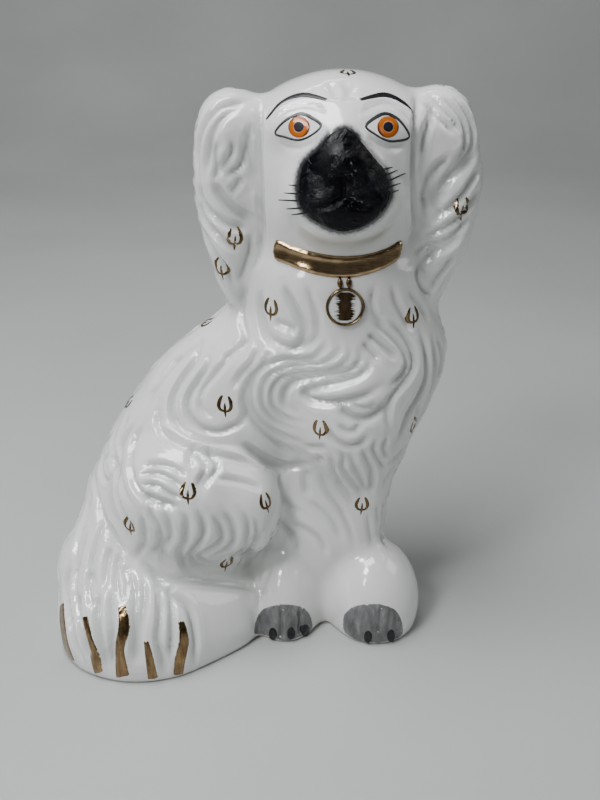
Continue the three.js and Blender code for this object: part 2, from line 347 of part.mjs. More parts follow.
// Face.
const muzzle = LAYERS.muzzle_enamel;
let mask = prism(muzzle.at, muzzle.normal, muzzle.outline, 24);
for (const w of muzzle.whiskers) mask = mask.add(prism(muzzle.at, muzzle.normal, w, 24));
add('muzzle_enamel', lay(mask), BLACK);
for (const side of ['left', 'right']) {
  const [iris, pupil, liner, brow] = ['iris', 'pupil', 'eyeliner', 'eyebrow'].map((k) => LAYERS[`${k}_${side}`]);
  add(`pupil_${side}`, lay(prism(pupil.at, pupil.normal, pupil.outline)), BLACK);
  const hole = prism(pupil.at, pupil.normal, grow(pupil.outline, PART_GAP), 12);
  add(`iris_${side}`, lay(prism(iris.at, iris.normal, iris.outline).subtract(hole)), AMBER);
  const white = prism(liner.at, liner.normal, grow(liner.outline, -0.45), 12).add(prism(iris.at, iris.normal, grow(iris.outline, PART_GAP), 12).intersect(prism(liner.at, liner.normal, grow(liner.outline, -0.15), 12)));
  add(`eyeliner_${side}`, lay(prism(liner.at, liner.normal, grow(liner.outline, 0.45)).subtract(white)), CHARCOAL);
  add(`eyebrow_${side}`, lay(prism(brow.at, brow.normal, brow.outline)), BLACK);
}

// Paws: a grey brushed patch with the black claws let into it.
for (const [side, claws] of [['left', 3], ['right', 2]]) {
  const patch = LAYERS[`paw_enamel_${side}`];
  let p = prism(patch.at, patch.normal, patch.outline, 16);
  for (let i = 1; i <= claws; i++) {
    const c = LAYERS[`claw_${side}_${i}`];
    add(`claw_${side}_${i}`, lay(prism(c.at, c.normal, c.outline, 4)), BLACK);
    p = p.subtract(prism(c.at, c.normal, grow(c.outline, PART_GAP), 5));
  }
  add(`paw_enamel_${side}`, lay(p), GREY);
}

// Gold brushed up the locks of the tail, and the sprigs over the coat.
for (let i = 1; i <= 5; i++) {
  const t = LAYERS[`tail_gilt_${i}`];
  add(`tail_gilt_${i}`, lay(prism(t.at, t.normal, t.outline, 14)), GOLD);
}
for (const [name, at, normal, roll, scale] of SPRIGS) add(name, lay(prism(at, normal, SPRIG_OUTLINE, 5, roll, scale)), GOLD);

// The group's origin is the middle of the figure's box on the table, with the long axis of the foot along X.
figurine.rotation.z = THREE.MathUtils.degToRad(DISPLAY_TURN);
figurine.updateMatrixWorld(true);
const room = new THREE.Box3();
for (const mesh of figurine.children) room.union(new THREE.Box3().setFromObject(mesh, true));
figurine.position.set(-(room.min.x + room.max.x) / 2, -(room.min.y + room.max.y) / 2, -room.min.z);

export default figurine;
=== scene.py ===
"""A seated white-glazed spaniel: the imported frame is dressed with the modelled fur, the enamels and the gold.
Lengths in the tables are millimetres in the modelling frame, which is the row frame before its turn and shift."""
import bpy, math
import numpy as np
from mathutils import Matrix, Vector
from mathutils.bvhtree import BVHTree
from mathutils.geometry import delaunay_2d_cdt


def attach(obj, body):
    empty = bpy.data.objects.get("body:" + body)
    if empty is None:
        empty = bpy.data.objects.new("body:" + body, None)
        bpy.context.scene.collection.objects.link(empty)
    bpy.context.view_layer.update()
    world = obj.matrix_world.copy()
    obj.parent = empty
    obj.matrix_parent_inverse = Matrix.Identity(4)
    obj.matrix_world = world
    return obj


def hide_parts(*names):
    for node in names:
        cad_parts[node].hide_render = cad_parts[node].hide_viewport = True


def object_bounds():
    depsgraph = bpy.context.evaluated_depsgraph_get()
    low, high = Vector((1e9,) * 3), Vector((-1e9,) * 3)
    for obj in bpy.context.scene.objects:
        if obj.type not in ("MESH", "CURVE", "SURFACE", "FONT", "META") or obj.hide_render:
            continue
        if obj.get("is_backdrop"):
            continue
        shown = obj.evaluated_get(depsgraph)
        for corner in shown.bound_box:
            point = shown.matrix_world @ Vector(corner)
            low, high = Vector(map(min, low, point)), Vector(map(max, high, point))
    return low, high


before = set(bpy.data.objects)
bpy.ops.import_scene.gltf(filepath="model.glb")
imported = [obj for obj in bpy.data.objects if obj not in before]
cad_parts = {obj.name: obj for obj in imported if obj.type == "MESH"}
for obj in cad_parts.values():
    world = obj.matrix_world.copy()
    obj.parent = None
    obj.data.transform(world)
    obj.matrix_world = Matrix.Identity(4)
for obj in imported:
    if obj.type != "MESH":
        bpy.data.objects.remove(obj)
cad_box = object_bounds()

MM = 0.001
TURN = math.radians(-13)
SHIFT = np.array([17.868, -10.480, 0.0])
CELL = 1.14
RNG = np.random.default_rng(7)

# Ellipsoids (name, centre, radii, turns, blend) and tapered limbs (name, start, end, radius, radius, blend).
FORMS = (
    ('rump', (-53.6, 10, 48.6), (43.1, 37, 40), (0, -10, 0), 10),
    ('backline', (-31.9, 16, 82.3), (54, 31, 31.9), (0, -44, 0), 14),
    ('loin', (-58.4, 14, 79.3), (22.1, 24, 21.2), (0, -40, 0), 14),
    ('withers', (-41.4, 18, 100.8), (27, 24, 22.6), (0, -40, 0), 14),
    ('shoulder', (7.6, 16, 119.3), (52.5, 30, 27.9), (0, -6, 0), 14),
    ('chest', (26.2, 12, 113.6), (31.6, 28, 36.3), (0, 4, 0), 12),
    ('breast', (21, 2, 95.5), (24.4, 24, 30.2), (0, 0, 0), 12),
    ('neck', (15.8, 14, 148.4), (36.5, 26, 26), (0, 0, 0), 10),
    ('leg_r', (28.7, 2, 78.8), (25.8, -2, 40.5), 13, 10.5, 10),
    ('leg_l', (0, 6, 66.6), (-5.4, -2, 24.3), 14, 11.5, 12),
    ('web', (12, 7, 28), (20, 21, 50), (0, 0, 0), 10),
    ('foot_r', (33, -9, 9), (20.5, 21.8, 29), (0, 0, 0), 6),
    ('foot_l', (-6.5, -9, 6), (15, 19.8, 29), (0, 0, 0), 5),
    ('haunch', (-46.1, -13, 65.1), (31.9, 22, 27.7), (0, 8, 0), 6),
    ('knee', (-21.1, -14, 59.8), (12.6, 16, 19.4), (0, 0, 0), 8),
    ('hind_foot', (-43, -18, 6), (27, 22, 24), (0, 0, 14), 6),
    ('tail_base', (-79.6, -8, 23.3), (27.7, 27, 31.3), (0, 8, 0), 10),
    ('tail_brush', (-67, -22, 7), (38, 31, 35), (0, 8, 0), 6),
    ('base_back', (-28, 14, 4), (70, 29, 16), (0, 0, 0), 14),
    ('skull', (16.4, 17, 200.7), (32, 29, 27.5), (0, 0, 0), 10),
    ('brow', (15.7, 14, 211.2), (34.3, 23, 14.2), (0, 0, 0), 8),
    ('jaw', (15.3, 9, 181.9), (27.9, 22, 19.1), (0, 0, 0), 8),
    ('cheeks', (14.9, 8, 196.6), (29.5, 18, 20.2), (0, 0, 0), 8),
    ('snout', (15.6, -4, 189.6), (18.9, 19, 16), (0, 0, 0), 11),
    ('flew_l', (7.5, -12, 187.9), (8.9, 10, 8.9), (0, 0, 0), 8),
    ('flew_r', (23.4, -12, 188.2), (8.9, 10, 8.9), (0, 0, 0), 8),
    ('bridge', (15.2, -6, 203.2), (11.7, 13, 13.5), (26, 0, 0), 10),
    ('nose', (14.7, -17.5, 201.8), (6.8, 7.5, 4.8), (0, 0, 0), 5),
    ('chin', (15.6, -8, 181), (12.4, 13, 6.9), (0, 0, 0), 7),
    ('eye_l', (-0.3, -2.6, 210.9), (8.5, 5.2, 5.3), (0, 0, 0), 6),
    ('eye_r', (31.2, -2.6, 210.9), (8.5, 5.2, 5.3), (0, 0, 0), 6),
    ('headfill', (15.8, 22, 187.9), (46.5, 20, 34.7), (0, 0, 0), 9),
    ('nape', (11.7, 25, 152.4), (35, 20, 62.4), (5, 0, 0), 20),
    ('mane', (16, 22, 155.7), (46, 20, 28.8), (0, 0, 0), 8),
    ('ear_l1', (-25.2, 15, 207.5), (13.9, 15, 15.8), (0, 0, 0), 7),
    ('ear_l2', (-27.3, 15, 189.9), (13.9, 15, 21.6), (0, 4, 0), 8),
    ('ear_l3', (-26.8, 13, 168.7), (11, 13, 19.7), (0, -8, 0), 6),
    ('ear_l4', (-27.7, 12, 151.9), (4.8, 8, 8.8), (0, -6, 0), 5),
    ('ear_r1', (51.8, 15, 208.2), (13.5, 15, 16.1), (0, 0, 0), 7),
    ('ear_r2', (56.2, 15, 190.6), (13.8, 15, 21.5), (0, -4, 0), 8),
    ('ear_r3', (55.2, 13, 168.7), (11.8, 13, 19.7), (0, 12, 0), 6),
    ('ear_r4', (52.7, 12, 151.1), (5.2, 8, 9.7), (0, 10, 0), 5),
)
# Grooves between the modelled locks of fur: (points on the surface, half width, depth). A negative depth is a ridge.
LOCKS = (
    (((8.4, -12.2, 136.9), (9.3, -12.6, 135.2), (9.6, -13.2, 132.8), (7.8, -13.5, 130.1), (4.6, -13.6, 127.6), (-0.3, -12.8, 126.7), (-5.8, -11.8, 126.1), (-10.7, -11.4, 124.6), (-14.9, -11.2, 122.4), (-17.4, -11.4, 119.2), (-18.9, -11.8, 115.4), (-19.5, -12.3, 111.3), (-19.1, -12.6, 107.1), (-17.7, -12.9, 103.3), (-15.2, -12.9, 99.7), (-11.5, -12.2, 95.9), (-7.3, -11.3, 92.5), (-3.2, -11.5, 90.8), (0, -13.1, 90.7)), 1.26, 0.9),
    (((14.5, -13.3, 135.7), (15, -13.8, 133.4), (14.6, -14.6, 130.5), (11.8, -15.1, 127.9), (7.7, -15, 125.7), (2.4, -14, 124.6), (-3.1, -13, 123.6), (-7.9, -12.6, 122.1), (-11.7, -12.4, 120), (-13.9, -12.5, 117.1), (-15, -12.7, 113.7), (-15.1, -12.8, 109.8), (-14.3, -12.9, 105.9), (-12.4, -12.8, 102.5), (-9.6, -12.3, 99.4), (-5.3, -12.3, 97.2), (-1.6, -13.5, 96.4)), 1.18, 0.9),
    (((18.3, -13.7, 135.1), (19.1, -14.4, 132.4), (19.1, -15.5, 129.2), (17, -16.4, 126.6), (13.4, -16.7, 124.3), (7.9, -15.9, 122.9), (1.9, -14.6, 121.7), (-3, -13.6, 120.5), (-7, -13.2, 119), (-9.6, -13.1, 116.3), (-11, -13.1, 113), (-11.2, -13.1, 109.4), (-10.3, -12.9, 105.9), (-8.3, -12.7, 103), (-5.6, -12.8, 101), (-2.1, -13.9, 100.6), (0.8, -15.4, 100.9)), 1.17, 0.9),
    (((21.8, -14.1, 133.6), (22.7, -14.9, 130.9), (23, -16.1, 127.8), (21.2, -17, 125.4), (18, -17.6, 123.4), (12.8, -17.3, 121.9), (7, -16.3, 120.4), (1.7, -15, 118.9), (-2.7, -14, 117.3), (-5.2, -13.7, 114.9), (-6.3, -13.5, 112.3), (-6.4, -13.4, 109.5), (-5.6, -13.4, 107), (-3.5, -13.8, 105.6), (-1.6, -14.5, 104.9)), 1.32, 1.3),
    (((25.2, -15, 130.6), (26.1, -15.8, 128.4), (26.4, -16.8, 125.6), (24.6, -17.7, 123.3), (21.5, -18.4, 121.3), (16.8, -18.6, 119.8), (11.6, -18.1, 118.2), (5.9, -16.8, 116.2), (2, -15.7, 114.2), (2.5, -16, 112.2), (5.5, -17.4, 111.1), (10.1, -19, 111.2), (15.5, -20.3, 112), (20.6, -20.5, 113.3), (25.4, -20, 114.8), (29.5, -18.8, 116.8), (32.4, -17.7, 118.5)), 1.39, 1.4),
    (((25.5, -13, 137.6), (27.3, -13.1, 136.1), (29.8, -13.3, 134.1), (32.7, -13.4, 131.8), (35.4, -13.5, 129.7), (37, -13.6, 128), (37.8, -13.6, 126.8)), 1.23, 1.3),
    (((23.7, -13.9, 134.3), (25, -14.2, 133.1), (26.8, -14.6, 131.3), (28.7, -15.2, 129.1), (30.3, -15.6, 127.2)), 1.07, 1),
    (((27.4, -11.9, 141.7), (30.2, -11.8, 139.6), (33.7, -11.6, 136.7), (36.8, -11.5, 133.9), (39.4, -11.6, 131), (41.1, -11.8, 128.2), (41.9, -12.3, 125.4), (41.3, -13.2, 122.8), (39.6, -14.5, 120.4), (36.7, -16.2, 118.3), (34, -17.5, 116.7)), 1.16, 1),
    (((31.6, -10.8, 142.9), (34.7, -10.2, 140.7), (38.5, -9.5, 137.6), (41.4, -9.4, 134), (43.5, -9.8, 130.3), (44.6, -10.6, 126.4), (44.5, -11.5, 122.5), (42.9, -12.9, 119.6), (40.6, -14.6, 117.1), (38, -16.2, 114.9), (35.8, -17.6, 112.5), (34.7, -18.5, 109.3), (34.4, -19, 105.8), (35.3, -18.7, 101.5), (36.5, -17.9, 97.8)), 1.17, 0.9),
    (((46.9, -4.8, 135.9), (48.2, -5.5, 132.6), (49.6, -6.5, 128.1), (50.4, -7.2, 123.2), (50.5, -7.6, 117.9), (49.1, -8.7, 113.2), (47.1, -10.3, 109.1), (45, -12, 106), (43.1, -13.5, 103.1), (41.9, -14.1, 99.5), (40.9, -14.5, 96), (39.3, -15.2, 92.7), (37.9, -15.7, 90.3)), 1.19, 1),
    (((52.9, -0.8, 132.3), (53.6, -2.4, 128.3), (54.4, -3.2, 122.6), (54.4, -3.5, 117.2), (54, -3.1, 111.6), (52.8, -3, 105.8), (51, -3.7, 100.6), (48.3, -5.8, 95.9), (46, -7.6, 92.4)), 1.05, 0.8),
    (((15.8, -20.5, 111.3), (16.4, -20.9, 109.7), (17.4, -21.3, 107.8), (19.3, -21.7, 106.4), (21.7, -21.9, 105.5), (24.5, -21.7, 105.3), (27.2, -21.3, 105.6), (29.5, -20.6, 106.5), (31.5, -19.9, 108), (33.1, -19, 110.1), (34.2, -18.3, 112)), 1.55, 1.5),
    (((20.1, -20.7, 112.2), (21, -21, 111.3), (22.4, -21.1, 110.3), (24.3, -21.1, 109.8), (26.3, -20.9, 109.7), (28.5, -20.3, 110.5), (30.2, -19.8, 111.3)), 1, 0.6),
    (((10.2, -20.1, 102.4), (11, -20.5, 99.7), (12.6, -20.9, 96.7), (15.2, -21.5, 94.8), (18.1, -21.9, 93.6), (21, -22.1, 93.7), (23.6, -22.1, 94.6), (25.9, -21.9, 96.8), (27.4, -21.6, 98.8)), 1.26, 0.9),
    (((14.8, -21.4, 103.1), (16.1, -21.7, 101.7), (18, -22.1, 100.3), (20, -22.2, 100.2), (21.8, -22.2, 100.9), (23.2, -22.1, 102.6), (24.1, -21.9, 104.2)), 1.09, 0.6),
    (((15, -21.3, 92.4), (16.3, -21.3, 90.4), (17.5, -21, 87.7), (17.2, -20.2, 85), (16.9, -19.1, 82.1), (18.4, -17.7, 78.5), (20.6, -15.8, 74.5), (23, -13.9, 70.4), (25.1, -12.6, 66.8), (26, -12, 63.3), (26.2, -11.9, 60.9)), 1.06, 0.8),
    (((19.8, -21.9, 91.8), (20.1, -21.5, 89.2), (20.8, -20.7, 85.7), (22, -19.6, 82.3), (23.6, -17.9, 78.6), (25.2, -15.9, 74.5), (26.6, -14, 70.5), (27.4, -12.5, 66.3), (27.8, -11.9, 63.4)), 1.06, 0.8),
    (((24.4, -21.9, 93.6), (25.2, -21.5, 91), (26.3, -20.6, 87.5), (27.9, -19.2, 84), (29.2, -17.5, 80.2), (29.8, -15.5, 75.8), (29.9, -13.6, 71.3), (29.8, -12.2, 66.6), (29.5, -11.7, 63.2)), 1.06, 0.8),
    (((30, -20.8, 95.7), (29.5, -20.8, 93.8), (29.4, -20.4, 91), (30.6, -19.3, 87.6), (32.3, -17.5, 83.9), (34, -15.5, 80.6), (35.4, -13.7, 78)), 1.04, 0.7),
    (((34.9, -18.7, 96.4), (34.1, -18.9, 94.1), (33.5, -18.7, 91), (34.5, -17.3, 87.6), (35.7, -15.8, 84.8)), 0.96, 0.6),
    (((11.9, -20, 89.9), (12.3, -19.2, 86.3), (13, -17.6, 81.2), (14.1, -15, 75.8), (15.9, -12.2, 70.4), (18.5, -11.5, 66.4), (21.1, -11.5, 63.2), (22.7, -11.7, 60.4), (23.7, -12, 58.5)), 1.08, 0.7),
    (((8.3, -13, 77.6), (9.2, -11, 72.2), (11, -10.5, 66.5), (13.9, -10.9, 62.3), (17, -11.4, 58.1), (19.4, -12.3, 53.3), (21.4, -13.2, 48.1), (23.1, -13.7, 42.2), (24.2, -14.3, 37.6)), 1.1, 0.5),
    (((2.5, -10.3, 61.4), (4.7, -10.7, 60), (7.7, -11.2, 58), (10.7, -11.8, 55.7), (13.6, -12.4, 52.7), (16.2, -13.2, 47.8), (18.1, -13.7, 43.4)), 1.19, 0.45),
    (((28.9, -11.8, 56.4), (29.4, -11.9, 52.5), (30.1, -11.8, 47.2), (31.2, -11.6, 41.8), (32.1, -13, 38.7)), 1.03, 0.35),
    (((33.2, -10.1, 58.8), (33.7, -9.6, 53.4), (34.2, -9, 47.9)), 1.03, 0.3),
    (((-6.4, -6.2, 155.7), (-5.7, -7, 153.6), (-4.6, -7.9, 150.7), (-3.1, -8.6, 147.8), (-1.5, -9.2, 144.7), (0, -9.7, 141.7), (1.2, -10.2, 138.6), (1.4, -10.6, 135.7), (0.8, -11, 133.2), (-1.6, -10.9, 131.2), (-3.9, -10.8, 129.8)), 1.53, 1),
    (((-14.7, -1.4, 153), (-15.2, -1.4, 150.5), (-15.6, -1.2, 146.9), (-15.4, -1.6, 143.5), (-14.9, -2.7, 140.1), (-14, -4.2, 136.9), (-12.5, -6.2, 134.3), (-9.6, -8.2, 132.3), (-6.2, -9.7, 131.1), (-2.7, -10.8, 130.8), (0.8, -11.5, 131.3), (3.8, -11.8, 133.1), (6.1, -11.9, 135.2), (7.2, -11.9, 137.1), (7.6, -11.9, 138.4)), 1.32, 0.9),
    (((2.3, -9.4, 155.9), (3.2, -10.2, 153.4), (4.5, -10.9, 150.1), (5.8, -11.2, 146.6), (6.8, -11.5, 143.1), (7, -11.6, 139.5), (6.9, -11.9, 136.8)), 1.14, 0.5),
    (((-20.7, 3.3, 152.8), (-21.7, 4.3, 149.4), (-22.7, 5.5, 144.8), (-23.2, 5.2, 140.7), (-23.1, 2.6, 137.4), (-22, -0.8, 134.7), (-21.3, -3.6, 132.1), (-22.8, -5.2, 129.3), (-24.5, -6, 127.1)), 1.19, 0.6),
    (((28.5, -9.6, 155.5), (27.7, -10.3, 153.2), (27.1, -10.9, 150.1), (27.6, -11.2, 147), (28.8, -11.3, 143.9), (31.4, -11.3, 140.6), (33.7, -11.2, 138.2)), 1.14, 0.6),
    (((34.8, -7.4, 155.6), (35.4, -7.8, 152.8), (36.5, -8, 149.1), (38.1, -7.8, 145.8), (40, -7.4, 142.5), (42.4, -7, 138.7), (44.3, -6.9, 135.8)), 1.15, 0.6),
    (((41.3, -4.7, 152.1), (43.7, -3.7, 149.2), (46.8, -1.8, 145.1), (49.5, -0.1, 140.7), (51.6, 0.8, 137.2)), 1.17, 0.5),
    (((-40.8, 5.8, 127.7), (-41, 2.8, 125.4), (-42, 0, 122.1), (-44.3, -1.3, 118.7), (-47, -2.2, 115.2), (-49.3, -3.3, 111.7), (-51.2, -4.6, 108.2), (-52.1, -6.1, 104.9), (-52, -7.8, 101.7), (-50.4, -9.8, 98.3), (-47.7, -12.1, 95.7), (-44.2, -14.3, 94.1), (-40.2, -15.6, 93), (-35.9, -15.9, 92), (-31.4, -15.5, 91.1), (-26.1, -14.8, 90.1), (-21.9, -14.2, 89.5)), 1.38, 1),
    (((-35.3, -1.1, 126), (-36.2, -2.8, 123.3), (-37.6, -4.5, 119.6), (-39.6, -5.3, 116.5), (-41.8, -6, 113.3), (-43.8, -6.7, 110.1), (-45.2, -7.7, 107), (-45.3, -9, 103.9), (-44.4, -10.2, 101.1), (-42.4, -11.4, 98.6), (-39.5, -12.5, 96.8), (-36, -13.2, 95.9), (-32.2, -13.5, 95.9), (-28.4, -13.4, 97.1), (-24.9, -13.2, 98.9), (-22, -12.9, 101.7), (-19.9, -12.8, 104.1)), 1.29, 1),
    (((-26.9, -4.7, 127.4), (-28.6, -5.6, 124.8), (-31, -6.5, 121.3), (-33.9, -6.9, 118), (-36.8, -7.3, 114.7), (-38.9, -7.8, 111.8), (-40.1, -8.4, 109.1), (-40, -9.5, 106.3), (-39, -10.5, 103.9), (-36.7, -11.4, 102.2), (-34.5, -12.1, 101.1)), 1.2, 0.7),
    (((-16.4, -7.2, 130.1), (-17.3, -8.4, 127.6), (-18.8, -9.5, 124.3), (-21.2, -9.9, 121.4), (-23.7, -10.1, 118.5), (-25.6, -10.4, 115.3), (-27, -10.7, 112.8)), 1.18, 0.6),
    (((-19.7, -4.2, 132.3), (-22.1, -4.7, 130.3), (-25.3, -5.2, 127.6), (-28.5, -5.4, 125.3), (-31, -5.4, 123.4)), 1.03, 0.5),
    (((-14.8, -10.4, 124.6), (-17.1, -10.8, 121.9), (-19.7, -11.2, 118.2), (-21.3, -11.5, 114.5), (-22.2, -11.9, 110.7), (-22, -12.4, 107), (-20.8, -12.8, 103.2), (-18.5, -13.1, 99.3), (-15.3, -12.9, 95.2), (-11.1, -11.6, 90.5), (-6.6, -9.7, 86.1), (-2.7, -9.1, 83.4), (0, -9.9, 82.5)), 1.28, 0.9),
    (((-24.2, -14.2, 91.3), (-21.5, -14.2, 88.8), (-18, -13.5, 85.4), (-14.8, -12.4, 82.5), (-11.6, -10.6, 79.5), (-8, -8.7, 77.1), (-4.2, -8.4, 76.4), (0.5, -9.2, 77.7), (4.1, -11.6, 80.1)), 1.85, 1.3),
    (((-57.3, -3.6, 104.2), (-57.9, -5.2, 101.3), (-58, -7.3, 97.8), (-56.7, -9.7, 95.1), (-54.2, -13.1, 93.5), (-50.5, -16.4, 92.7), (-46.2, -18.7, 91.9), (-42, -19.9, 91.1), (-37.4, -20.1, 89.9), (-32.5, -19.6, 88.4), (-27.3, -18.4, 86.3), (-21.6, -16.9, 83.4), (-17.1, -15.7, 81)), 1.29, 0.9),
    (((-48.5, 6.6, 122.1), (-51.1, 5.4, 119.2), (-54.4, 4, 115.2), (-57.5, 2.6, 111.2), (-60.4, 1.5, 107.3), (-62.5, 0.5, 104), (-63.8, -0.3, 101.7)), 1.24, 0.7),
    (((-37.3, 5.2, 129.6), (-40.6, 4.8, 127.1), (-44.9, 4.6, 123.8), (-48.7, 4.9, 120.8), (-52.7, 5, 117.4), (-57.6, 4.6, 112.7), (-61.6, 4.6, 108.6)), 1.07, 0.4),
    (((-11.7, -9.5, 128.5), (-13.3, -10.3, 125.9), (-14.9, -10.9, 123.2)), 0.94, 0.3),
    (((-61.5, -7.1, 95.4), (-57.3, -9, 95.6), (-51.9, -11.4, 95.3), (-47, -14.3, 94), (-42, -17.1, 92.4), (-36.7, -18.1, 90.8), (-31.3, -18, 88.8), (-26.1, -17.1, 86.5), (-21.1, -15.9, 83.9), (-16.1, -15.1, 80.4), (-12.4, -13.3, 76.8)), 2.03, -0.7),
    (((-63.4, -5.5, 96), (-65.8, -6.4, 92.9), (-68.4, -8.3, 89.1), (-69.1, -12.4, 86.3), (-68.5, -18.3, 84.4), (-67.4, -23.2, 81.9), (-65.8, -26.7, 79.1), (-63.5, -29.1, 77), (-60.6, -31, 75.3), (-57.1, -32.5, 74), (-53.3, -33.5, 73.2), (-49.2, -33.9, 73.3), (-46.1, -34, 73.5)), 1.36, 1),
    (((-67.2, -2.9, 95.6), (-70.1, -3.3, 92.3), (-73.4, -4.3, 87.9), (-74.8, -6.6, 83.8), (-74.7, -11.4, 80.5), (-73.1, -19, 78.5), (-71.4, -23.9, 75.6), (-69, -27.3, 72.7), (-66.9, -29.3, 70.5)), 1.23, 0.7),
    (((-62.7, -23.3, 85.4), (-59.7, -24.1, 86.4), (-56, -24.8, 87.1), (-52.6, -25.8, 87.1), (-49.4, -26.9, 86.5), (-46.6, -28.3, 85), (-44.6, -29.4, 83.5)), 1.02, 0.8),
    (((-64.2, -25, 82.7), (-60.8, -26.1, 83.8), (-56.6, -27.3, 84.5), (-53.1, -28.6, 84), (-50, -29.8, 82.8), (-47.2, -31, 81.1), (-45.3, -31.8, 79.5)), 1.1, 1),
    (((-63.2, -27.8, 79.8), (-60.1, -29, 80.2), (-56.4, -30.2, 80.3), (-53.5, -31.3, 79.3), (-50.8, -32.3, 77.9), (-47.7, -32.9, 76.8), (-45.3, -33.3, 75.8)), 1.02, 0.9),
    (((-62.3, -29.9, 76.5), (-59.4, -31.2, 76.1), (-55.6, -32.5, 75.3), (-51.6, -33.4, 74.4), (-48.5, -33.9, 73.5)), 1.1, 0.9),
    (((-42.8, -21.2, 90.5), (-41.3, -22, 89.9), (-39.5, -23, 88.9), (-37.9, -24.3, 87.5), (-37, -25.8, 85.9), (-37.8, -27.6, 84.2), (-39.2, -29.3, 82.5), (-40, -30.6, 80.7), (-40.7, -31.4, 79.3)), 1.02, 0.8),
    (((-38, -17.7, 91.3), (-36.7, -19.1, 90.2), (-35, -21, 88.6), (-33.3, -22.6, 86.9), (-32.5, -24.4, 85.1), (-34.4, -27, 83.4), (-36.9, -29.3, 81.6), (-37.9, -30.8, 79.4), (-38.4, -31.8, 77.6)), 1.11, 0.9),
    (((-33.5, -27.5, 82.3), (-30.7, -26.7, 81.5), (-27, -25.5, 80.2), (-23.4, -24.6, 78.9), (-20, -24, 77.5), (-17.2, -23.6, 75.8), (-15.3, -23.2, 74.2)), 1.12, 0.5),
    (((-41.6, -17.4, 92.1), (-42.6, -20, 91.1), (-43.5, -22.9, 89.7), (-43, -25.2, 87.9), (-42.4, -26.7, 86.4)), 0.95, 0.6),
    (((-59.8, -31.9, 73.1), (-59.3, -32.6, 70.7), (-58.5, -33.2, 67.5), (-56.9, -33.7, 65), (-55.6, -33.9, 62.2), (-55.6, -33.3, 58.5), (-56.5, -31.8, 54.1), (-59, -29.2, 48.9), (-61.1, -28.1, 45.5)), 1.12, 0.8),
    (((-54.1, -33.6, 72.3), (-53.1, -34.2, 69.9), (-52, -34.6, 66.5), (-51.5, -34.6, 62.7), (-51.9, -34, 58.5), (-54.1, -32.3, 53.9), (-56.4, -29.8, 48.7), (-56.4, -28.2, 43.6), (-55.5, -28.8, 41)), 1.12, 0.8),
    (((-48.5, -34.1, 72.7), (-46.6, -34.5, 70.8), (-44.8, -34.9, 67.6), (-44.7, -34.9, 63), (-45.5, -34.2, 57.7), (-47.3, -32.9, 53.2), (-49, -30.7, 48.4), (-48.9, -27.9, 42.6), (-47.6, -27.1, 38.7), (-45.1, -26.5, 36.3), (-42.9, -25.9, 34.7)), 1.21, 0.9),
    (((-40.7, -33.6, 73.3), (-39.7, -34, 70.7), (-38.6, -34.3, 67.2), (-38, -34.3, 63.9), (-38.2, -34, 60.5), (-39.8, -33.6, 56.7), (-42, -32.5, 52.7), (-44, -30.9, 48.9), (-45.3, -29.1, 45.3), (-45, -27.1, 41.6), (-43.6, -25.6, 38.6), (-40.8, -23.9, 36.1), (-38.3, -22.3, 34.1)), 1.22, 1.1),
    (((-35.4, -33.3, 70.3), (-33.6, -33.1, 67.3), (-31.8, -32.7, 63.3), (-31.1, -32.2, 59.6), (-31.5, -31.5, 55.8), (-33.8, -31, 52.8), (-36.6, -30.6, 50.3), (-39.2, -30.1, 48.3), (-41.1, -29.3, 46.4), (-41.3, -27.8, 43.6), (-40.1, -25.9, 40.8), (-36.6, -23.1, 38.1), (-33.3, -20.3, 35.7)), 1.22, 0.9),
    (((-30.8, -31.8, 70.3), (-29, -31.8, 67.4), (-27.1, -31.7, 63.6), (-26.4, -31.5, 59.5), (-26.7, -30.7, 55.3), (-28.2, -29.6, 51.7), (-30.4, -28, 48.4), (-33.3, -27, 45.9), (-35.6, -27, 44.7)), 1.21, 0.9),
    (((-24.6, -30.1, 70.1), (-22.7, -30.4, 67.6), (-20.8, -30.7, 63.9), (-20.5, -30.7, 59.6), (-21.1, -30.2, 54.9), (-22.6, -28.6, 50), (-25.1, -23.5, 43.2), (-28.5, -18.1, 36.7), (-30.8, -18.9, 35.7)), 1.15, 0.8),
    (((-19.2, -29.4, 67.8), (-17.9, -29.7, 64.2), (-17, -29.5, 59.2), (-17.5, -29.1, 54.9), (-18.9, -28, 50.4), (-21.1, -25.4, 45.5), (-24.4, -12.9, 33.4), (-26.6, -12.2, 28.8), (-28, -14.5, 27.1)), 1.17, 0.7),
    (((-63.4, -31.3, 69), (-62.8, -31.7, 65.6), (-62.5, -31.4, 60.6), (-63.4, -29.6, 54.8), (-64.9, -27.8, 49.2), (-66.9, -27.9, 45.8), (-68.5, -28.9, 44.1)), 1.13, 0.7),
    (((-13, -26.4, 62), (-14, -27.4, 59.3), (-15.5, -28.1, 55.4), (-17.6, -27.9, 51.3), (-20, -24.8, 45.2), (-22.8, -9.1, 29.6), (-24, -8.4, 25.8)), 1.09, 0.5),
    (((-9.9, -21.5, 56.8), (-11.4, -22.7, 52.9), (-13.9, -10.7, 38.6), (-16.5, -9.4, 32.5), (-18.6, -8.7, 28.1)), 1.12, 0.4),
    (((-80.5, -2.1, 80.1), (-82.1, -1, 78.4), (-83.9, -0.1, 76.1), (-84.9, -1, 73.7), (-84.9, -3.2, 71.9), (-83.5, -6.6, 70.8), (-81.6, -9.3, 70.6), (-79.7, -10.5, 72.6), (-78.4, -10.5, 75.2), (-78.3, -8.4, 77), (-79, -5.9, 78.3), (-80.6, -3.5, 78.6), (-82.2, -1.2, 78.1)), 0.93, 0.7),
